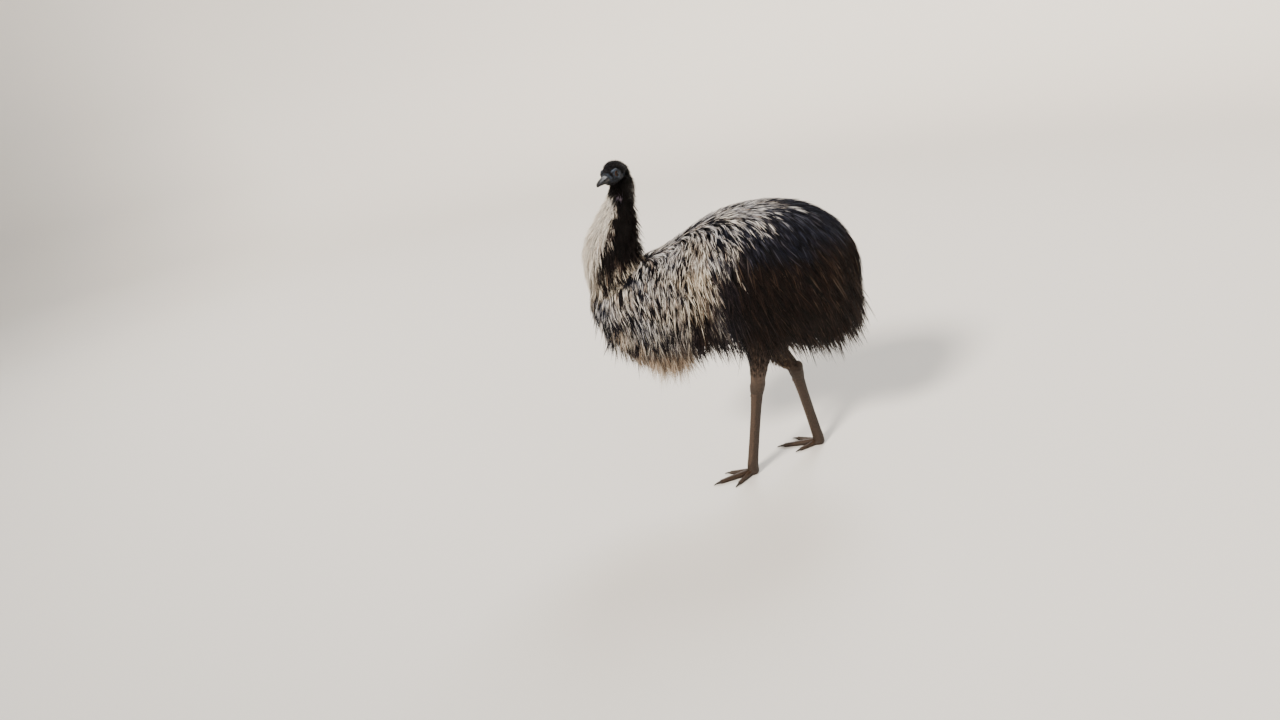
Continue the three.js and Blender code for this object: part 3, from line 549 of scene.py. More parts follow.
def trunk_plumes(count):
    """Paths of the trunk's plumes: rooted in the skin, they fall down its slope and then hang."""
    x, angle = trunk_roots(count)
    points = trunk_point(x, angle, -ROOT_DEPTH)
    root_map = beside((x - TRUNK_FRONT) / (TRUNK_REAR - TRUNK_FRONT), angle / (2 * math.pi))
    normal = trunk_out(points)
    slope = np.degrees(np.arccos(np.clip(normal[:, 2], -1, 1)))
    low = smooth(45, 92, slope) * (1 - 0.5 * smooth(125, 160, slope))
    lengths = (0.125 + low * (0.165 * stepped(LENGTH_STEPS, x) - 0.115)) * draw.uniform(0.8, 1.12, count)
    lengths = lengths * (1 - 0.24 * paleness(x, points[:, 2]) * smooth(0.7, 0.85, points[:, 2]))
    rise = draw.uniform(*RISE, count)
    twist = draw.normal(0, 0.15, count) + 0.08 * mottle(points, 0.09)
    rings, fine = 6, 4
    heading = np.tile(DOWN, (count, 1))
    gone = np.zeros(count)
    paths, outs = [points.copy()], [normal.copy()]
    for _ in range(rings - 1):
        for _ in range(fine):
            step = lengths / (rings - 1) / fine
            pull = np.tile(DOWN, (count, 1))
            pull[:, 0] += leaning(points, normal) + twist
            level_way = pull - normal * (pull * normal).sum(axis=1, keepdims=True)
            carried = normal[:, 2] > -0.05
            hanging = unit(heading * 0.65 + unit(pull) * 0.35)
            heading = np.where(carried[:, None], unit(level_way), hanging)
            points = points + heading * step[:, None]
            gone = gone + step
            wanted = 0.024 * smooth(0, 0.035, gone) + rise * gone - ROOT_DEPTH
            push = np.where(carried, wanted - trunk_level(points), 0)
            points = points + normal * push[:, None]
            normal = trunk_out(points)
        paths.append(points.copy())
        outs.append(unit(normal * [1, 1, 0.6]))
    return np.stack(paths, axis=1), np.stack(outs, axis=1), root_map, rise


def trunk_tone(points, rise):
    """How pale each plume is, from 0 black to 1 cream: pale and dark ones mixed in front, and all dark behind, partly
    the plumes' own colour and partly painted light and shade.
    """
    count = len(points)
    x, z = points[:, 0], points[:, 2]
    # Now and then a pale plume lies well behind the border.
    behind = np.where(draw.random(count) < 0.3, np.minimum(draw.exponential(0.06, count), 0.15), 0)
    pale = paleness(x, z, draw.normal(0, 0.03, count) + 0.02 * mottle(points, 0.07) - behind)
    # A few pale strokes lie by themselves in the dark flank, and a patch on the side is the brightest of all, a
    # painted sunlit patch.
    apart = bell(x, -0.07, 0.03) * bell(z, 0.7, 0.06)
    pale = np.maximum(pale, 0.8 * apart)
    bright = bell(x, -0.11, 0.065) * bell(z, 0.86, 0.11)
    # More pale plumes in the painted sunlit patch and along the top of the back, as painted light.
    share = 0.43 + 0.45 * bright + 0.13 * mottle(points, 0.055) + 0.12 * smooth(0.97, 1.05, z)
    share = share - 0.1 * smooth(-0.22, -0.36, x)
    # The plumes that stand off highest are the pale ones: painted light on the raised plumes and painted shade on
    # those lying between.
    proud = (rise - RISE[0]) / (RISE[1] - RISE[0]) + draw.normal(0, 0.35, count)
    light, dark = draw.uniform(0.68, 1.0, count) + 0.15 * bright, draw.uniform(0.0, 0.22, count)
    front = np.where(proud > 1 - share, light, dark)
    # The rear's plumes are dark, partly their own colour and partly painted shade, and a little paler along the top
    # as a painted sky reflection.
    back = 0.06 + 0.25 * draw.random(count) ** 2 + 0.035 * smooth(0.86, 0.96, z)
    soft = fringe(x, z)
    tone = (pale * front + (1 - pale) * back) * (1 - soft) + soft * draw.uniform(0.58, 0.82, count)
    return np.clip(tone, 0, 1)


def trunk_cool(points):
    """How blue-grey each plume is: silver in front but for a bright patch, blue-black behind and brown below; the
    blue is partly painted sky reflection and the warmer bright patch is painted sunlight.
    """
    x, z = points[:, 0], points[:, 2]
    # Bluer over the top of the back as painted sky reflection, and warmer in the bright patch as painted sunlight.
    cool = 0.42 + 0.45 * smooth(0.85, 1.0, z) - 0.4 * bell(x, -0.11, 0.08) * bell(z, 0.86, 0.12)
    cool = cool + 0.25 * smooth(-0.2, -0.35, x) + 0.25 * mottle(points, 0.07) + draw.normal(0, 0.1, len(x))
    # Behind, the top turns blue-black as painted sky reflection and the lower rear turns brown.
    return np.clip(cool + smooth(-0.02, 0.12, x) * (0.8 * smooth(0.84, 0.93, z) - 0.6), 0, 1)


# The trunk's pieces of plumage, by the place where each ends.
BANDS = {"breast": -0.34, "shoulder": -0.19, "side": -0.05, "back": 0.09, "flank": 0.22, "loin": 0.35, "rump": 1}


def dress_trunk():
    """The trunk's plumage in pieces along its length."""
    paths, outs, root_map, rise = trunk_plumes(12000)
    clear = np.linalg.norm((paths[:, 0] - NECK_ROOT) * [1, 1, 0.7], axis=1) > NECK_CLEAR
    paths, outs, root_map, rise = paths[clear], outs[clear], root_map[clear], rise[clear]
    middle = paths[:, 3]
    tone = trunk_tone(middle, rise)
    brown = 0.85 * fringe(middle[:, 0], middle[:, 2])
    cool = trunk_cool(middle) * (1 - brown)
    start = -1
    for name, end in BANDS.items():
        mine = (paths[:, 0, 0] >= start) & (paths[:, 0, 0] < end)
        slot, strands = "grey_plumage", (3, 3.0, 1.5, 3.6)
        if name in ("flank", "loin", "rump"):
            slot, strands = "dark_plumage", (4, 4.6, 1.65, 4.5)
        plumes = (paths[mine], outs[mine], root_map[mine])
        coat(f"plumage_{name}", plumes, strands, tone[mine], cool[mine], 0.4, brown[mine])
        start = end


# Neck

# How far round from the throat the cream reaches, in radians, by the share of the way up; the cream is painted
# sunlight on the neck's lit front.
LIT_CREAM_STEPS = [
    (0.16, -0.3), (0.22, 0.45), (0.3, 0.75), (0.38, 1.0), (0.46, 1.22),
    (0.55, 1.36), (0.7, 1.36), (0.76, 0.9), (0.81, -0.3),
]


def neck_at(share):
    """Middle, direction, half depth in the fluff and half depth at the tips, at shares of the way up the neck."""
    stops = np.array([[*place, core, outer] for place, core, outer in NECK_LINE]) * MM
    position = np.clip(share, 0, 1) * (len(stops) - 1)
    i = np.clip(position.astype(int), 0, len(stops) - 2)
    t = (position - i)[..., None]
    a, b, c, d = stops[np.maximum(i - 1, 0)], stops[i], stops[i + 1], stops[np.minimum(i + 2, len(stops) - 1)]
    value = 0.5 * (2 * b + (c - a) * t + (2 * a - 5 * b + 4 * c - d) * t**2 + (3 * b - a - 3 * c + d) * t**3)
    slope = 0.5 * ((c - a) + 2 * (2 * a - 5 * b + 4 * c - d) * t + 3 * (3 * b - a - 3 * c + d) * t**2)
    return value[..., :3], unit(slope[..., :3]), value[..., 3], value[..., 4]


def neck_point(share, angle, half):
    """A point round the neck, at an angle from the throat towards the left side, and its outward direction."""
    middle, along, _, _ = neck_at(share)
    left = np.broadcast_to(np.array([0.0, -1.0, 0.0]), along.shape)
    front = unit(np.cross(left, along))
    front = np.where(front[..., :1] > 0, -front, front)
    out = front * np.cos(angle)[..., None] + left * (NECK_NARROW * np.sin(angle))[..., None]
    return middle + out * half[..., None], unit(out)


def dress_neck():
    """The neck's soft feathers: short under the head, longer and looser towards the breast."""
    count = 2950
    pairs = spread(count)
    share = 1.0 - 0.94 * pairs[:, 0] ** 0.85
    angle = 2 * math.pi * pairs[:, 1] - math.pi
    # Few feathers grow over the lilac spot on the left of the throat.
    throat = (np.abs(share - 0.755) < 0.055) & (np.abs(angle - 1.3) < 0.4)
    keep = ~(throat & (draw.random(count) < 0.88))
    share, angle = share[keep], angle[keep]
    count = len(share)
    long = (0.09 + 0.16 * smooth(0.85, 0.3, share)) * draw.uniform(0.8, 1.15, count)
    nape = smooth(2.0, 2.8, np.abs(angle))
    loose = draw.uniform(0.55, 1.0, count) + 1.3 * nape * draw.random(count) ** 2
    bend = draw.normal(0, 0.16, count)

    def ring(gone):
        here = share - long * gone
        _, _, core, outer = neck_at(here)
        rising = smooth(0, 0.3, gone)
        fuller = 0.018 * smooth(1.0, 0.5, np.abs(angle)) * bell(here, 0.2, 0.15) * gone
        half = core * NECK_SKIN * (1 - rising) + core * rising + (outer - core) * gone * loose + fuller
        point, out = neck_point(np.maximum(here, 0), angle + bend * gone**1.5, half)
        return point + np.minimum(here, 0)[:, None] * np.array([0.1, 0, 0.5]), out

    paths, outs = grown(6, ring)
    # The cream round the throat is painted sunlight on the neck's lit front.
    cream = smooth(0.16, -0.16, np.abs(angle) + draw.normal(0, 0.1, count) - stepped(LIT_CREAM_STEPS, share))
    low = smooth(0.31, 0.22, share + draw.normal(0, 0.015, count) - 0.05 * smooth(1.0, 1.8, np.abs(angle)))
    dark = 0.05 * draw.random(count) + 0.1 * nape * draw.random(count)
    streaky = np.where(draw.random(count) < 0.45, draw.uniform(0.6, 0.95, count), draw.uniform(0, 0.2, count))
    tone = cream * draw.uniform(0.78, 1.0, count) + (1 - cream) * (low * streaky + (1 - low) * dark)
    cool = np.clip(0.35 * cream + 0.2 * draw.random(count), 0, 1)
    root_map = beside(share, (angle + math.pi) / (2 * math.pi))
    slim = 0.6 + 0.7 * smooth(0.9, 0.3, share)
    upper = share > 0.52
    for name, mine in (("upper", upper), ("lower", ~upper)):
        plumes = (paths[mine], outs[mine], root_map[mine])
        strands = (5, 3.6 * slim[mine], 0.95 * slim[mine], 2.6 * slim[mine])
        coat(f"plumage_neck_{name}", plumes, strands, tone[mine], cool[mine])


# Belly wisps, thighs


def dress_belly():
    """Long soft tan wisps under the breast, which fall from their roots, swaying and curling a little."""
    count = 520
    pairs = spread(count)
    x = -0.44 + 0.25 * pairs[:, 0]
    y = (pairs[:, 1] - 0.5) * 0.2
    roots = beside(x, y, 0.63 + 0.3 * np.abs(y) + 0.15 * smooth(-0.3, -0.42, x))
    lengths = draw.uniform(0.11, 0.19, count) + 0.03 * smooth(-0.42, -0.3, x)
    fall = beside(*draw.uniform(-0.2, 0.2, (count, 2)).T, -1)
    turn = draw.uniform(0, 2 * math.pi, count)
    aside = beside(np.cos(turn), np.sin(turn), 0) * draw.random(count)[:, None]
    out = unit(aside + np.array([0, 0, 0.2]))
    paths, outs = grown(7, lambda gone: (roots + (fall * gone + aside * gone**2 * 0.35) * lengths[:, None], out))
    tone = draw.uniform(0.62, 0.84, count) - 0.08 * smooth(-0.33, -0.25, x)
    coat("plumage_belly", (paths, outs, pairs), (6, 6, 0.95, 8), tone, brown=0.8)


def leg_line(leg, share):
    """A place on the line from the thigh to the ankle."""
    a, b, c = [np.array(p) * MM for p in leg["line"]]
    t = share[..., None]
    return a * (1 - t) * (1 - 2 * t) + b * 4 * t * (1 - t) + c * t * (2 * t - 1)


def thigh_ring(leg, share):
    """Middle, half depth and half width of the drumstick at shares of its length."""
    deep, wide = [stepped(THIGH_STEPS, share, column) * MM for column in (1, 2)]
    full = leg["fuller"] * MM * smooth(0.2, 0.5, share) * smooth(1.02, 0.82, share)
    middle = leg_line(leg, share)
    middle[..., 0] -= full
    return middle, deep + full, wide


def dress_thighs():
    """Short hair-like feathers down the drumsticks, thinning out above the ankle."""
    count = 720
    pairs = spread(count)
    angle = 2 * math.pi * pairs[:, 1]
    forward = -np.cos(angle)
    out = beside(np.cos(angle), np.sin(angle), 0)
    parts = []
    for number, leg in enumerate(LEGS.values()):
        share = 0.04 + (0.72 + 0.12 * number) * pairs[:, 0] ** (1.15 - 0.35 * number)
        long = draw.uniform(0.07, 0.15, count) * (1.2 - 0.5 * share)
        # The rear leg's drumstick is shaggier in front, and paler and tan there as painted sunlight.
        shaggy = number * smooth(-0.1, 0.7, forward) * smooth(0.3, 0.5, share) * smooth(0.88, 0.76, share)
        pale = number * smooth(-0.75, 0.1, forward) * smooth(0.3, 0.5, share)
        stand = 0.012 - 0.009 * smooth(0.3, 0.7, share) + 0.024 * shaggy

        def ring(gone):
            middle, deep, wide = thigh_ring(leg, share + long * gone)
            size = beside(deep, wide, 0) + (stand * gone - 0.002)[:, None]
            return middle + out * size, out

        root_map = beside(pairs[:, 0] * 0.48 + 0.5 * number, pairs[:, 1])
        parts.append((*grown(5, ring), root_map, draw.uniform(0.05, 0.26, count) + 0.27 * pale, 0.9 * pale))
    paths, outs, root_map, tone, brown = map(np.concatenate, zip(*parts))
    coat("plumage_thighs", (paths, outs, root_map), (4, 3, 0.75, 2.2), tone, brown=brown)


# Head

HEAD_PLACE = (
    Matrix.Translation(Vector(HEAD_AT) * MM)
    @ Matrix.Rotation(math.pi + HEAD_TURN, 4, "Z")
    @ Matrix.Rotation(HEAD_NOD, 4, "Y")
)
LID_TILT = math.radians(16)
# Stations of the hooked nail at the bill's tip and of the ridge on top of the bill.
NAIL = [((123, 0, -7.5), 9, 3), ((128, 0, -9.4), 7.6, 3.6), ((132, 0, -10.4), 4.6, 3.2), ((133.4, 0, -10.8), 2, 1.6)]
CULMEN = [((66, 0, 8.6), 3.2, 3.2), ((92, 0, 6.8), 3.4, 3), ((116, 0, 1.2), 3.6, 3), ((130, 0, -4), 3, 2)]


def on_skull(x, turn):
    """The skull's surface at a place along it and an angle round it, from one side over the crown to the other."""
    half, up, down = [stepped(SKULL, x, column) for column in (1, 2, 3)]
    rise = np.sin(turn)
    point = beside(x, half * np.cos(turn), np.where(rise > 0, up, down) * rise)
    return point * MM, unit(beside((x - 10) / 60, np.cos(turn), rise))


def shape_head():
    """The head's bare skin: skull, brows, cheeks, jaw, lids and ear rims in one, with eyes, ears and mouth cut."""
    stations = [((x, 0, (up - down) / 2), half, (up + down) / 2) for x, half, up, down in SKULL]
    flesh = [sleeve(stations, 32, "X")]
    flesh.append(sleeve([((-34, 0, -70), 24, 24), ((-24, 0, -40), 25, 26), ((-14, 0, -14), 28, 28)]))
    (ex, ey, ez), (ax, ay, az) = EYE_AT, EAR_AT
    for hand in (1, -1):
        tilt = (math.pi / 2, 0, hand * -LID_TILT)
        flesh.append(lump((ex + 3, hand * (ey - 2), ez + 10.5), (17, 8.5, 5.5), (0, math.radians(8), hand * -0.3)))
        flesh.append(lump((ex - 24, hand * 26, -12), (17, 9, 12)))
        flesh.append(lump((52, hand * 15, -14), (15, 6.5, 6)))
        flesh.append(rim((ex - 0.5, hand * (ey + 5.6), ez), EYE_RADIUS - 0.4, 2.3, tilt, (1.14, 0.95, 1)))
        flesh.append(rim((ax, hand * (ay + 0.2), az), 6.2, 1.7, tilt, (1, 1.15, 1)))
    head = thinned(grown_together(flesh, 1.25, 3), 0.7)
    for hand in (1, -1):
        cut_away(head, lump((ex, hand * (ey + 1), ez), (11.2, 12.2, 9.2), (0, math.radians(8), 0), 40))
        cut_away(head, lump((ax, hand * (ay + 3), az), (4.6, 9, 5.4)))
    deselect()
    bpy.ops.mesh.primitive_cube_add(size=1, location=(0.085, 0, MOUTH_HEIGHT * MM), scale=(0.078, 0.08, 0.0011))
    cut_away(head, placed(bpy.context.object))
    return placed(head, HEAD_PLACE)


def bill_size(x):
    """Half width, height of the culmen and height of the underside at a place along the bill."""
    share = min(max((x - 70) / (BILL_TIP + 0.5 - 70), 0), 1)
    return 17.3 * (1 - share**2.3) ** 0.55, 10.5 - 14.5 * share**1.5, -19 + 7 * share**0.8


def bill_part(upper):
    """The upper or lower half of the bill, parted along the mouth line."""
    end = BILL_TIP if upper else LOWER_BILL_TIP
    stations = []
    for i in range(15):
        x = BILL_ROOT + (end - BILL_ROOT) * (1 - (1 - i / 14) ** 1.6)
        half, top, under = bill_size(min(x, BILL_TIP - 1.2))
        if upper and x > 124:
            under = min(under, MOUTH_HEIGHT - 3.2)
        taper = 1 if i < 14 else 0.55
        wide = half * taper * (1 if upper else 0.88)
        stations.append(((x, 0, (top + under) / 2), wide, (top - under) / 2 * taper))
    gap = 0.35 if upper else -0.35
    piece = reshaped(
        sleeve(stations, 28, "X"),
        bpy.ops.mesh.bisect,
        plane_co=(0, 0, (MOUTH_HEIGHT + gap) * MM),
        plane_no=(0, 0, 1),
        use_fill=True,
        clear_inner=upper,
        clear_outer=not upper,
    )
    if upper:
        piece = grown_together([piece, sleeve(NAIL, 20, "X"), sleeve(CULMEN, 16, "X")], 0.7, 2)
        for hand in (1, -1):
            cut_away(piece, lump((97, hand * 13.2, 0.5), (7.5, 3.6, 2.2), (0, math.radians(12), hand * -0.18)))
    else:
        applied(piece, "BEVEL", width=0.5 * MM, segments=2, limit_method="ANGLE", angle_limit=math.radians(40))
    return placed(smoothed(piece, 50), HEAD_PLACE)


def eye_ball(hand):
    """An eyeball that knows, for each of its points, the angle from the middle of its pupil."""
    middle = Vector((EYE_AT[0], hand * EYE_AT[1], EYE_AT[2])) * MM
    towards = Vector((math.sin(LID_TILT), hand * math.cos(LID_TILT), 0.02)).normalized()
    deselect()
    bpy.ops.mesh.primitive_uv_sphere_add(segments=40, ring_count=32, radius=EYE_RADIUS * MM)
    facing = towards.to_track_quat("Z", "Y").to_matrix().to_4x4()
    ball = placed(bpy.context.object, Matrix.Translation(middle) @ facing)
    along = unit(corners(ball) - np.array(middle)) @ np.array(towards)
    give(ball, "off_pupil", np.degrees(np.arccos(np.clip(along, -1, 1))))
    bpy.ops.object.shade_smooth()
    return placed(ball, HEAD_PLACE)


def dress_head():
    """Black bristly feathers, dense on the crown and nape and thin over the face."""
    count = 4200
    pairs = spread(count)
    x, turn = SKULL_BACK + 112 * pairs[:, 0], 2 * math.pi * pairs[:, 1]
    places = on_skull(x, turn)[0] / MM
    crown = smooth(-0.25, 0.25, np.sin(turn) - 0.012 * (x - 10))
    back = smooth(0, -30, x)
    # None grow round the eyes and the ears.
    from_eye = np.hypot(places[:, 0] - EYE_AT[0], (places[:, 2] - EYE_AT[2]) * 1.1)
    from_ear = np.hypot(places[:, 0] - EAR_AT[0], places[:, 2] - EAR_AT[2])
    bare = (np.abs(np.cos(turn)) > 0.45) & ((from_eye < 18.5) | (from_ear < 13))
    keep = (draw.random(count) < 0.5 + 0.5 * np.clip(crown + 0.9 * back, 0, 1)) & ~bare
    x, turn, pairs, crown, back = x[keep], turn[keep], pairs[keep], crown[keep], back[keep]
    count = len(x)
    fullness = np.clip(crown + back, 0, 1)
    mane = smooth(8, -24, x)
    long = (7 + 22 * fullness * smooth(66, 40, x)) * draw.uniform(0.75, 1.2, count)
    lift = (2 + 9 * fullness * smooth(62, 25, x) + 12 * mane) * draw.uniform(0.5, 1.2, count)
    fall = 34 * mane * draw.uniform(0.5, 1.2, count)

    def ring(gone):
        at = x - long * gone
        past = np.maximum(SKULL_BACK - at, 0)
        place, out = on_skull(np.maximum(at, SKULL_BACK), turn)
        place = place + out * ((-1.5 + (lift + 1.5) * gone**0.8) * MM)[:, None]
        drop = 0.85 * past + fall * gone**1.5
        return place + beside(-0.3 * past, 0, -drop) * MM, out

    paths, outs = grown(5, ring)
    tone = np.clip(draw.beta(1.2, 14, count), 0, 0.3)
    coat("plumage_head", (paths, outs, pairs), (2, 1.1, 0.5, 1.5), tone, 0.4)


# Legs and feet

PLATE_ACROSS, PLATE_THICK = 7, 2.2
# How long a toe's scutes are and how far from its root they start.
TOE_PLATE, TOE_PLATES_FROM = 8.5, 20


def foot_place(leg):
    """The foot's own frame: x forward from the toe joint, on the floor."""
    x, y, _ = leg["toes"]
    return Matrix.Translation(Vector((x, y, 0)) * MM) @ Matrix.Rotation(math.pi + math.radians(leg["turn"]), 4, "Z")


def toe_place(leg, side, toe):
    """A toe's own frame: x forward along the toe."""
    outward = 1 if side == "left" else -1
    return foot_place(leg) @ Matrix.Rotation(-outward * math.radians(toe["aim"]), 4, "Z")


def toe_size(toe, share):
    """Half width and height of a toe at a share of the way from its root to its tip."""
    return toe["half"] * (1 - TOE_SLIMS * share), toe["high"] * (1 - TOE_SINKS * share)


def shape_leg(leg, side):
    """One leg's bare skin from inside the trunk to the toe tips, with flat soles."""
    stations = []
    for share, _, _ in THIGH_STEPS:
        stations.append([size / MM for size in thigh_ring(leg, np.array(share))])
    ankle, toes = np.array(leg["line"][2]), np.array(leg["toes"])
    stations.append((ankle, 31, 25.5))
    stations += [(ankle + (toes - ankle) * share, deep, wide) for share, deep, wide in SHANK_STEPS]
    stations.append(((toes[0], toes[1], 14), 24, 22))
    flesh = [sleeve(stations, 28), lump(ankle + np.array([12, 0, 8]), (20, 17, 26))]
    flesh.append(placed(lump((2, 0, 12), (26, 24, 16)), foot_place(leg)))
    joints = 4
    for toe in TOES:
        rings = []
        for share in np.linspace(0, 1, joints * 3 + 1):
            bulge = 0.5 - 0.5 * math.cos(2 * math.pi * share * joints)
            wide, tall = toe_size(toe, share)
            wide, tall = wide * (0.86 + 0.14 * bulge), tall * (0.9 + 0.1 * bulge)
            rings.append(((8 + (toe["long"] - 8) * share, 0, tall * TOE_MIDDLE), wide, tall * 0.54))
        rings.append(((toe["long"] + 4, 0, toe["high"] * 0.27), toe["half"] * 0.42, toe["high"] * 0.25))
        flesh.append(placed(sleeve(rings, 20, "X"), toe_place(leg, side, toe)))
    skin = thinned(grown_together(flesh, 2.0, 3), 0.34)
    sole = {"plane_co": (0, 0, 0.0004), "plane_no": (0, 0, 1), "use_fill": True, "clear_inner": True}
    return reshaped(skin, bpy.ops.mesh.bisect, **sole)


def plate(middle, along, out, half_across, half_out, length, reach, raised):
    """One horny scute: a thin curved plate that starts flush with the skin and ends raised over the next one.

    Gives its places, in rings that run over its face and back under it, and its triangles.
    """
    across = along.cross(out).normalized()
    places = []
    for t in (0.0, 0.5, 1.0):
        for sink, order in ((0, range(PLATE_ACROSS)), (PLATE_THICK, reversed(range(PLATE_ACROSS)))):
            for i in order:
                swing = (i / (PLATE_ACROSS - 1) * 2 - 1) * reach
                edge = 1 - abs(swing / reach) ** 4
                height = (-0.5 + (raised + 0.5) * t**0.7) * edge - 0.4 * (1 - edge) - sink
                side, rise = (half_across + height) * math.sin(swing), (half_out + height) * math.cos(swing)
                places.append(middle + along * (length * t) + across * side + out * rise)
    n = 2 * PLATE_ACROSS
    quads = [(r + i, r + (i + 1) % n, r + n + (i + 1) % n, r + n + i) for r in (0, n) for i in range(n)]
    ends = [(r, i) for r in (0, 2 * n) for i in range(PLATE_ACROSS - 1)]
    quads += [(r + i, r + i + 1, r + n - 2 - i, r + n - 1 - i) for r, i in ends]
    return places, [face for a, b, c, d in quads for face in ((a, b, c), (a, c, d))]


def dress_legs():
    """Scutes down the front of each shank and over each toe."""
    vertices, faces = [], []

    def lay(*facts):
        places, triangles = plate(*facts)
        faces.extend([len(vertices) + i for i in triangle] for triangle in triangles)
        vertices.extend(places)

    rows, first, span = 24, 0.1, 0.86
    for side, leg in LEGS.items():
        ankle, toes = Vector(leg["line"][2]), Vector(leg["toes"])
        forward = foot_place(leg).to_3x3() @ Vector((1, 0, 0))
        down = (toes - ankle).normalized()
        out = (forward - down * forward.dot(down)).normalized()
        length = span / rows * (toes - ankle).length * 1.12
        for i in range(rows):
            share = first + span * i / rows
            deep, wide = [stepped(SHANK_STEPS, share, column) for column in (1, 2)]
            reach = 62 + 5 * math.sin(2.4 * i) - 16 * max(0, i - rows + 4) / 3
            lay(ankle.lerp(toes, share), down, out, wide, deep, length, math.radians(reach), 1.5)
        for toe in TOES:
            place = toe_place(leg, side, toe)
            forward = place.to_3x3() @ Vector((1, 0, 0))
            count, run = round(toe["long"] / TOE_PLATE), toe["long"] - TOE_PLATES_FROM
            for i in range(count):
                wide, tall = toe_size(toe, i / count)
                middle = place @ (Vector((TOE_PLATES_FROM + run * i / count, 0, tall * TOE_MIDDLE)) * MM) / MM
                sizes = (wide * 0.94, tall * 0.51, run / count * 1.15, math.radians(68), 1.2)
                lay(middle, forward, Vector((0, 0, 1)), *sizes)
    scutes = mesh_from("scutes", np.array(vertices) * MM, np.array(faces))
    reshaped(scutes, bpy.ops.mesh.normals_make_consistent, inside=False)
    finished(smoothed(scutes, 55), "scutes", scale_horn)


def shape_claws():
    """Blunt curved claws, one on each toe, as the pieces that stand for the six of the solids."""
    for side, leg in LEGS.items():
        for toe in TOES:
            start, half, high = toe["long"] + 0.3, toe["half"], toe["high"]
            rings = []
            for share in (0, 0.15, 0.35, 0.55, 0.75, 0.9, 1.0):
                slim = (1 - 0.75 * share) * (1 if share < 1 else 0.6)
                arch = 1.6 * math.sin(math.pi * share)
                centre = (start + half * 2.3 * share, 0, high * 0.27 * (1 - share) + 2.9 * share + arch)
                rings.append((centre, half * 0.5 * slim, high * 0.24 * slim))
            claw = smoothed(placed(sleeve(rings, 16, "X"), toe_place(leg, side, toe)), 50)
            name = f"claw_{toe['name']}_{side}"
            finished(claw, f"horny_{name}", claw_horn, [name])


# Body skin


def shape_body():
    """The skin of the trunk and neck, under the plumage by its depth."""
    depth = ROOT_DEPTH / MM
    flesh = [lump(centre, [half - depth for half in halves], segments=40) for centre, halves in TRUNK_LOBES]
    stations = [((-385, 0, 800), 66, 60)]
    stations += [(place, core * NECK_SKIN, core * NECK_SKIN * NECK_NARROW) for place, core, _ in NECK_LINE]
    flesh.append(sleeve(stations, 32))
    return grown_together(flesh, 9, 5)


def dress_skin():
    """One skin for every node of flesh, with marks that say where it is bare, lilac, blue, scaly or pale."""
    skin = joined([shape_body(), shape_head(), *(shape_leg(leg, side) for side, leg in LEGS.items())])
    places = corners(skin)
    x, z = places[:, 0], places[:, 2]
    from_bare = np.full(len(places), 1.0)
    for hand in (1, -1):
        for (sx, sy, sz), further in ((EYE_AT, 2), ((46, 20, 5), 1), (EAR_AT, 14)):
            middle = np.array(HEAD_PLACE @ (Vector((sx, hand * (sy + 6), sz)) * MM))
            from_bare = np.minimum(from_bare, np.linalg.norm(places - middle, axis=1) + further * MM)
    blue = smooth(1.1, 1.17, z)
    marks = {
        "bare": smooth(0.036, 0.016, from_bare),
        "lilac": smooth(1.23, 1.21, z) * smooth(1.14, 1.17, z) * smooth(-0.29, -0.33, x),
        "blue": blue,
        "scaly": smooth(0.47, 0.34, z),
        "thigh": smooth(0.62, 0.55, z),
        # The skin is paler under the trunk's streaky front, whose border is partly painted light and shade.
        "tone": 0.06 + 0.16 * paleness(x, z) * (1 - blue),
    }
    for name, values in marks.items():
        give(skin, name, values)
    flesh = ["head", "neck", "torso", "tail"]
    for side in LEGS:
        flesh += [f"thigh_{side}", f"shank_{side}", f"foot_{side}"]
        flesh += [f"toe_{toe['name']}_{side}" for toe in TOES]
    finished(skin, "skin", bird_skin, flesh)


# Materials


def new_material(name):
    """An empty material, with its tree of nodes and its Principled shader."""
    material = bpy.data.materials.new(name)
    material.use_nodes = True
    tree = material.node_tree
    return material, tree, next(node for node in tree.nodes if node.type == "BSDF_PRINCIPLED")


def fill(tree, node, inputs):
    """Sets a node's inputs to values, or links them to other nodes' outputs."""
    for key, value in inputs.items():
        if isinstance(value, bpy.types.NodeSocket):
            tree.links.new(value, node.inputs[key])
        else:
            node.inputs[key].default_value = value


def add(tree, kind, settings=None, inputs=None, stops=(), out=0):
    """Adds a node with its settings, inputs and (place, hex colour) stops, and gives one of its outputs."""
    node = tree.nodes.new("ShaderNode" + kind)
    for key, value in (settings or {}).items():
        setattr(node, key, value)
    fill(tree, node, inputs or {})
    for _ in stops[2:]:
        node.color_ramp.elements.new(0.5)
    for i, (place, code) in enumerate(stops):
        node.color_ramp.elements[i].position = place
        node.color_ramp.elements[i].color = srgb(code)
    return node.outputs[out]


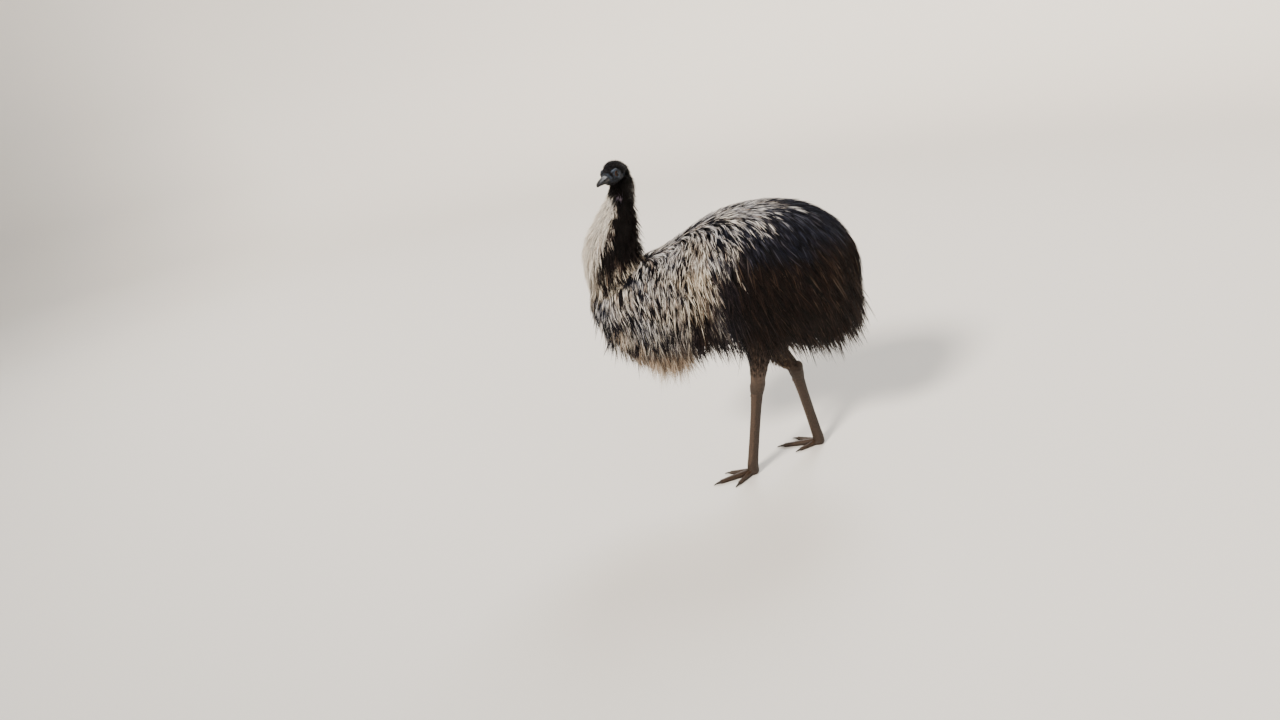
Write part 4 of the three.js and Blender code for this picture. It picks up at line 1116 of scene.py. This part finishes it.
def feather_material():
    """Loose emu feather: matte barbs from black to cream, silvery or brown, dark at the root and the tip; the silver
    is partly painted sky reflection.
    """
    material, tree, shader = new_material("loose emu feather")
    tone, along, cool, chance = [
        add(tree, "Attribute", {"attribute_name": fact}, out="Fac") for fact in ("tone", "along", "cool", "chance")
    ]
    warm, silver, span, tint = [
        add(tree, "ValToRGB", {}, {"Fac": source}, stops)
        for source, stops in (
            (tone, [(0, "#040303"), (0.2, "#221511"), (0.45, "#64564a"), (0.7, "#cbbfae"), (1, "#fff9ec")]),
            (tone, [(0, "#040509"), (0.2, "#191c2d"), (0.45, "#585b69"), (0.7, "#bfc0c6"), (1, "#fbfbfd")]),
            # The root lies in the shade of its neighbours, and the barbs darken at the tip.
            (along, [(0, "#4c4c4c"), (0.4, "#848484"), (0.62, "#f4f4f4"), (0.93, "#fffdf8"), (1, "#7d766f")]),
            # Sun-bleached and brown feathers lie side by side.
            (chance, [(0, "#bea48e"), (0.3, "#ffffff"), (0.8, "#fffaf0"), (1, "#d8d2cc")]),
        )
    ]
    # The cool mark mixes towards silver, which over the trunk is partly painted sky reflection.
    colour = add(tree, "Mix", {"data_type": "RGBA"}, {0: cool, 6: warm, 7: silver}, out=2)
    darken = {"data_type": "RGBA", "blend_type": "MULTIPLY"}
    for share, over in ((1.0, span), (0.8, tint)):
        colour = add(tree, "Mix", darken, {0: share, 6: colour, 7: over}, out=2)
    fill(tree, shader, {"Base Color": colour, "Roughness": 0.62, "Specular IOR Level": 0.15})
    return material


def skin_material():
    """Bare bird skin: blue-grey and finely wrinkled on the head, brown on the thighs, pebbled scales on the feet."""
    material, tree, shader = new_material("bare bird skin")
    place = add(tree, "TexCoord", out="Object")
    bare, lilac, blue, scaly, thigh, tone = [
        add(tree, "Attribute", {"attribute_name": mark}, out="Fac")
        for mark in ("bare", "lilac", "blue", "scaly", "thigh", "tone")
    ]
    # Blotches about 12 mm across, pebbled scales about 3.5 mm across and fine wrinkles about 1.5 mm apart.
    blotch = add(tree, "TexNoise", {}, {"Vector": place, "Scale": 80.0, "Detail": 4.0, "Roughness": 0.6}, out="Fac")
    pebble = add(
        tree, "TexVoronoi", {"feature": "DISTANCE_TO_EDGE"}, {"Vector": place, "Scale": 290.0}, out="Distance"
    )
    wrinkle = add(tree, "TexNoise", {}, {"Vector": place, "Scale": 650.0, "Detail": 3.0}, out="Fac")
    under, face, slate, throat, brown, scale = [
        add(tree, "ValToRGB", {}, {"Fac": source}, stops)
        for source, stops in (
            # The tone mark is paler under the trunk's front, partly painted light.
            (tone, [(0, "#060505"), (0.2, "#1b1410"), (0.45, "#64564a"), (1, "#e9e0d0")]),
            (blotch, [(0.25, "#0b0c0e"), (0.5, "#14171c"), (0.8, "#252a33")]),
            (blotch, [(0.25, "#0f1319"), (0.45, "#1c242e"), (0.62, "#303a48"), (0.8, "#566070")]),
            (blotch, [(0.25, "#3c3744"), (0.5, "#5f5664"), (0.8, "#84747c")]),
            (blotch, [(0.25, "#2c221c"), (0.5, "#44362c"), (0.8, "#5a493b")]),
            # The grooves between the scales are dark.
            (pebble, [(0, "#120c08"), (0.12, "#2a1e15"), (0.5, "#3f3024")]),
        )
    ]
    head = face
    for mark, over in ((bare, slate), (lilac, throat)):
        head = add(tree, "Mix", {"data_type": "RGBA"}, {0: mark, 6: head, 7: over}, out=2)
    colour = under
    for mark, over in ((blue, head), (thigh, brown), (scaly, scale)):
        colour = add(tree, "Mix", {"data_type": "RGBA"}, {0: mark, 6: colour, 7: over}, out=2)
    # The wrinkles run over all of it, and the scales stand up on the feet.
    raised = add(tree, "Math", {"operation": "MULTIPLY"}, {0: pebble, 1: 2.5})
    on_feet = add(tree, "Math", {"operation": "MULTIPLY"}, {0: raised, 1: scaly})
    height = add(tree, "Math", {"operation": "ADD"}, {0: wrinkle, 1: on_feet})
    bump = add(tree, "Bump", {}, {"Height": height, "Strength": 0.5, "Distance": 0.0012})
    fill(tree, shader, {"Base Color": colour, "Normal": bump, "Roughness": 0.6, "Specular IOR Level": 0.3})
    return material


def horn_material(name, stops, streak_scale, roughness):
    """Keratin: uneven streaks of light and dark under a satin surface."""
    material, tree, shader = new_material(name)
    place = add(tree, "TexCoord", out="Object")
    streaks = {"Vector": place, "Scale": streak_scale, "Detail": 5.0, "Roughness": 0.65}
    streaks = add(tree, "TexNoise", {}, streaks, out="Fac")
    colour = add(tree, "ValToRGB", {}, {"Fac": streaks}, stops)
    bump = add(tree, "Bump", {}, {"Height": streaks, "Strength": 0.25, "Distance": 0.0006})
    fill(tree, shader, {"Base Color": colour, "Normal": bump, "Roughness": roughness, "Specular IOR Level": 0.35})
    return material


def eye_material():
    """A wet eye: black pupil, red-brown iris with a dark edge, and dark white hidden under the lids."""
    material, tree, shader = new_material("wet eye")
    off = add(tree, "Attribute", {"attribute_name": "off_pupil"}, out="Fac")
    share = add(tree, "Math", {"operation": "DIVIDE"}, {0: off, 1: 90.0})
    pupil, edge = [(0, "#020202"), (0.3, "#030202")], [(0.62, "#160c08"), (0.68, "#0a0807")]
    iris = add(tree, "ValToRGB", {}, {"Fac": share}, [*pupil, (0.34, "#180d07"), (0.5, "#341d10"), *edge])
    fill(tree, shader, {"Base Color": iris, "Roughness": 0.7, "Specular IOR Level": 0.05})
    fill(tree, shader, {"Coat Weight": 0.6, "Coat Roughness": 0.02, "Coat IOR": 1.376})
    return material


def floor_material():
    """One matte pale colour for the floor."""
    material, tree, shader = new_material("pale studio floor")
    fill(tree, shader, {"Base Color": srgb("#e6e3de"), "Roughness": 0.9})
    return material


plume = feather_material()
bird_skin = skin_material()
# The streaks are about 6 mm apart on the bill, 4.5 mm on the claws and 4 mm on the scutes.
bill_horn = horn_material("satin bill keratin", [(0.3, "#080809"), (0.55, "#141316"), (0.75, "#262325")], 160.0, 0.4)
claw_horn = horn_material("worn claw keratin", [(0.3, "#151210"), (0.6, "#2b2520"), (0.8, "#4a4038")], 220.0, 0.45)
scale_horn = horn_material("horny leg scute", [(0.25, "#1d140e"), (0.5, "#34251a"), (0.75, "#4f3d2c")], 260.0, 0.5)
eye_surface = eye_material()
floor_finish = floor_material()


# Build

dress_skin()
finished(bill_part(True), "bill_top", bill_horn, ["bill_upper"])
finished(bill_part(False), "bill_bottom", bill_horn, ["bill_lower"])
finished(eye_ball(1), "eyeball_left", eye_surface, ["eye_left"])
finished(eye_ball(-1), "eyeball_right", eye_surface, ["eye_right"])
dress_legs()
shape_claws()
dress_trunk()
dress_neck()
dress_belly()
dress_thighs()
dress_head()


# Floor, light and camera


def studio():
    """A pale floor that sweeps up into a wall, a key light from the bird's front left, a soft fill and a weak rim."""
    sweep = [(0, 7000), (150, 8200), (700, 9300), (1700, 10000), (3200, 10400), (6000, 10500)]
    floor = sleeve([((0, 0, height), radius, radius) for height, radius in sweep], 96)
    reshaped(floor, bpy.ops.mesh.bisect, plane_co=(0, 0, 5.9), plane_no=(0, 0, 1), clear_outer=True)
    bpy.ops.object.shade_smooth()
    floor.name = "studio_floor"
    floor.data.materials.append(floor_finish)
    world = bpy.data.worlds.new("studio")
    bpy.context.scene.world = world
    world.use_nodes = True
    background = world.node_tree.nodes["Background"]
    background.inputs["Color"].default_value = srgb("#f4f2ef")
    background.inputs["Strength"].default_value = 0.52
    lights = [
        ("key", (-2.5, -2.8, 3.5), 12, 6.0, "#fff4e6"),
        ("fill", (2.5, -3.5, 2.2), 40, 0.5, "#eef3ff"),
        ("rim", (1.2, 2.6, 3.4), 25, 2.0, "#ffffff"),
    ]
    for name, place, spread_degrees, power, code in lights:
        lamp = bpy.data.lights.new(name, "SUN")
        lamp.angle = math.radians(spread_degrees)
        lamp.energy = power
        lamp.color = srgb(code)[:3]
        obj = bpy.data.objects.new(name, lamp)
        bpy.context.collection.objects.link(obj)
        obj.location = place
        obj.rotation_euler = (Vector((0, 0, 0.7)) - Vector(place)).to_track_quat("-Z", "Y").to_euler()


def camera():
    """The photograph's view: from 1.8 m up and 3.2 m away on the bird's left, pitched down and rolled."""
    data = bpy.data.cameras.new("camera")
    data.sensor_width = 36
    data.lens = 36 * 880 / 1280
    data.clip_end = 100
    view = bpy.data.objects.new("camera", data)
    bpy.context.collection.objects.link(view)
    place = Vector((-0.380, -3.190, 1.7935)) + SET_OVER
    view.matrix_world = (
        Matrix.Translation(place)
        @ Matrix.Rotation(math.radians(90 - 21.27), 4, "X")
        @ Matrix.Rotation(math.radians(-10.7), 4, "Z")
    )
    bpy.context.scene.camera = view


studio()
camera()
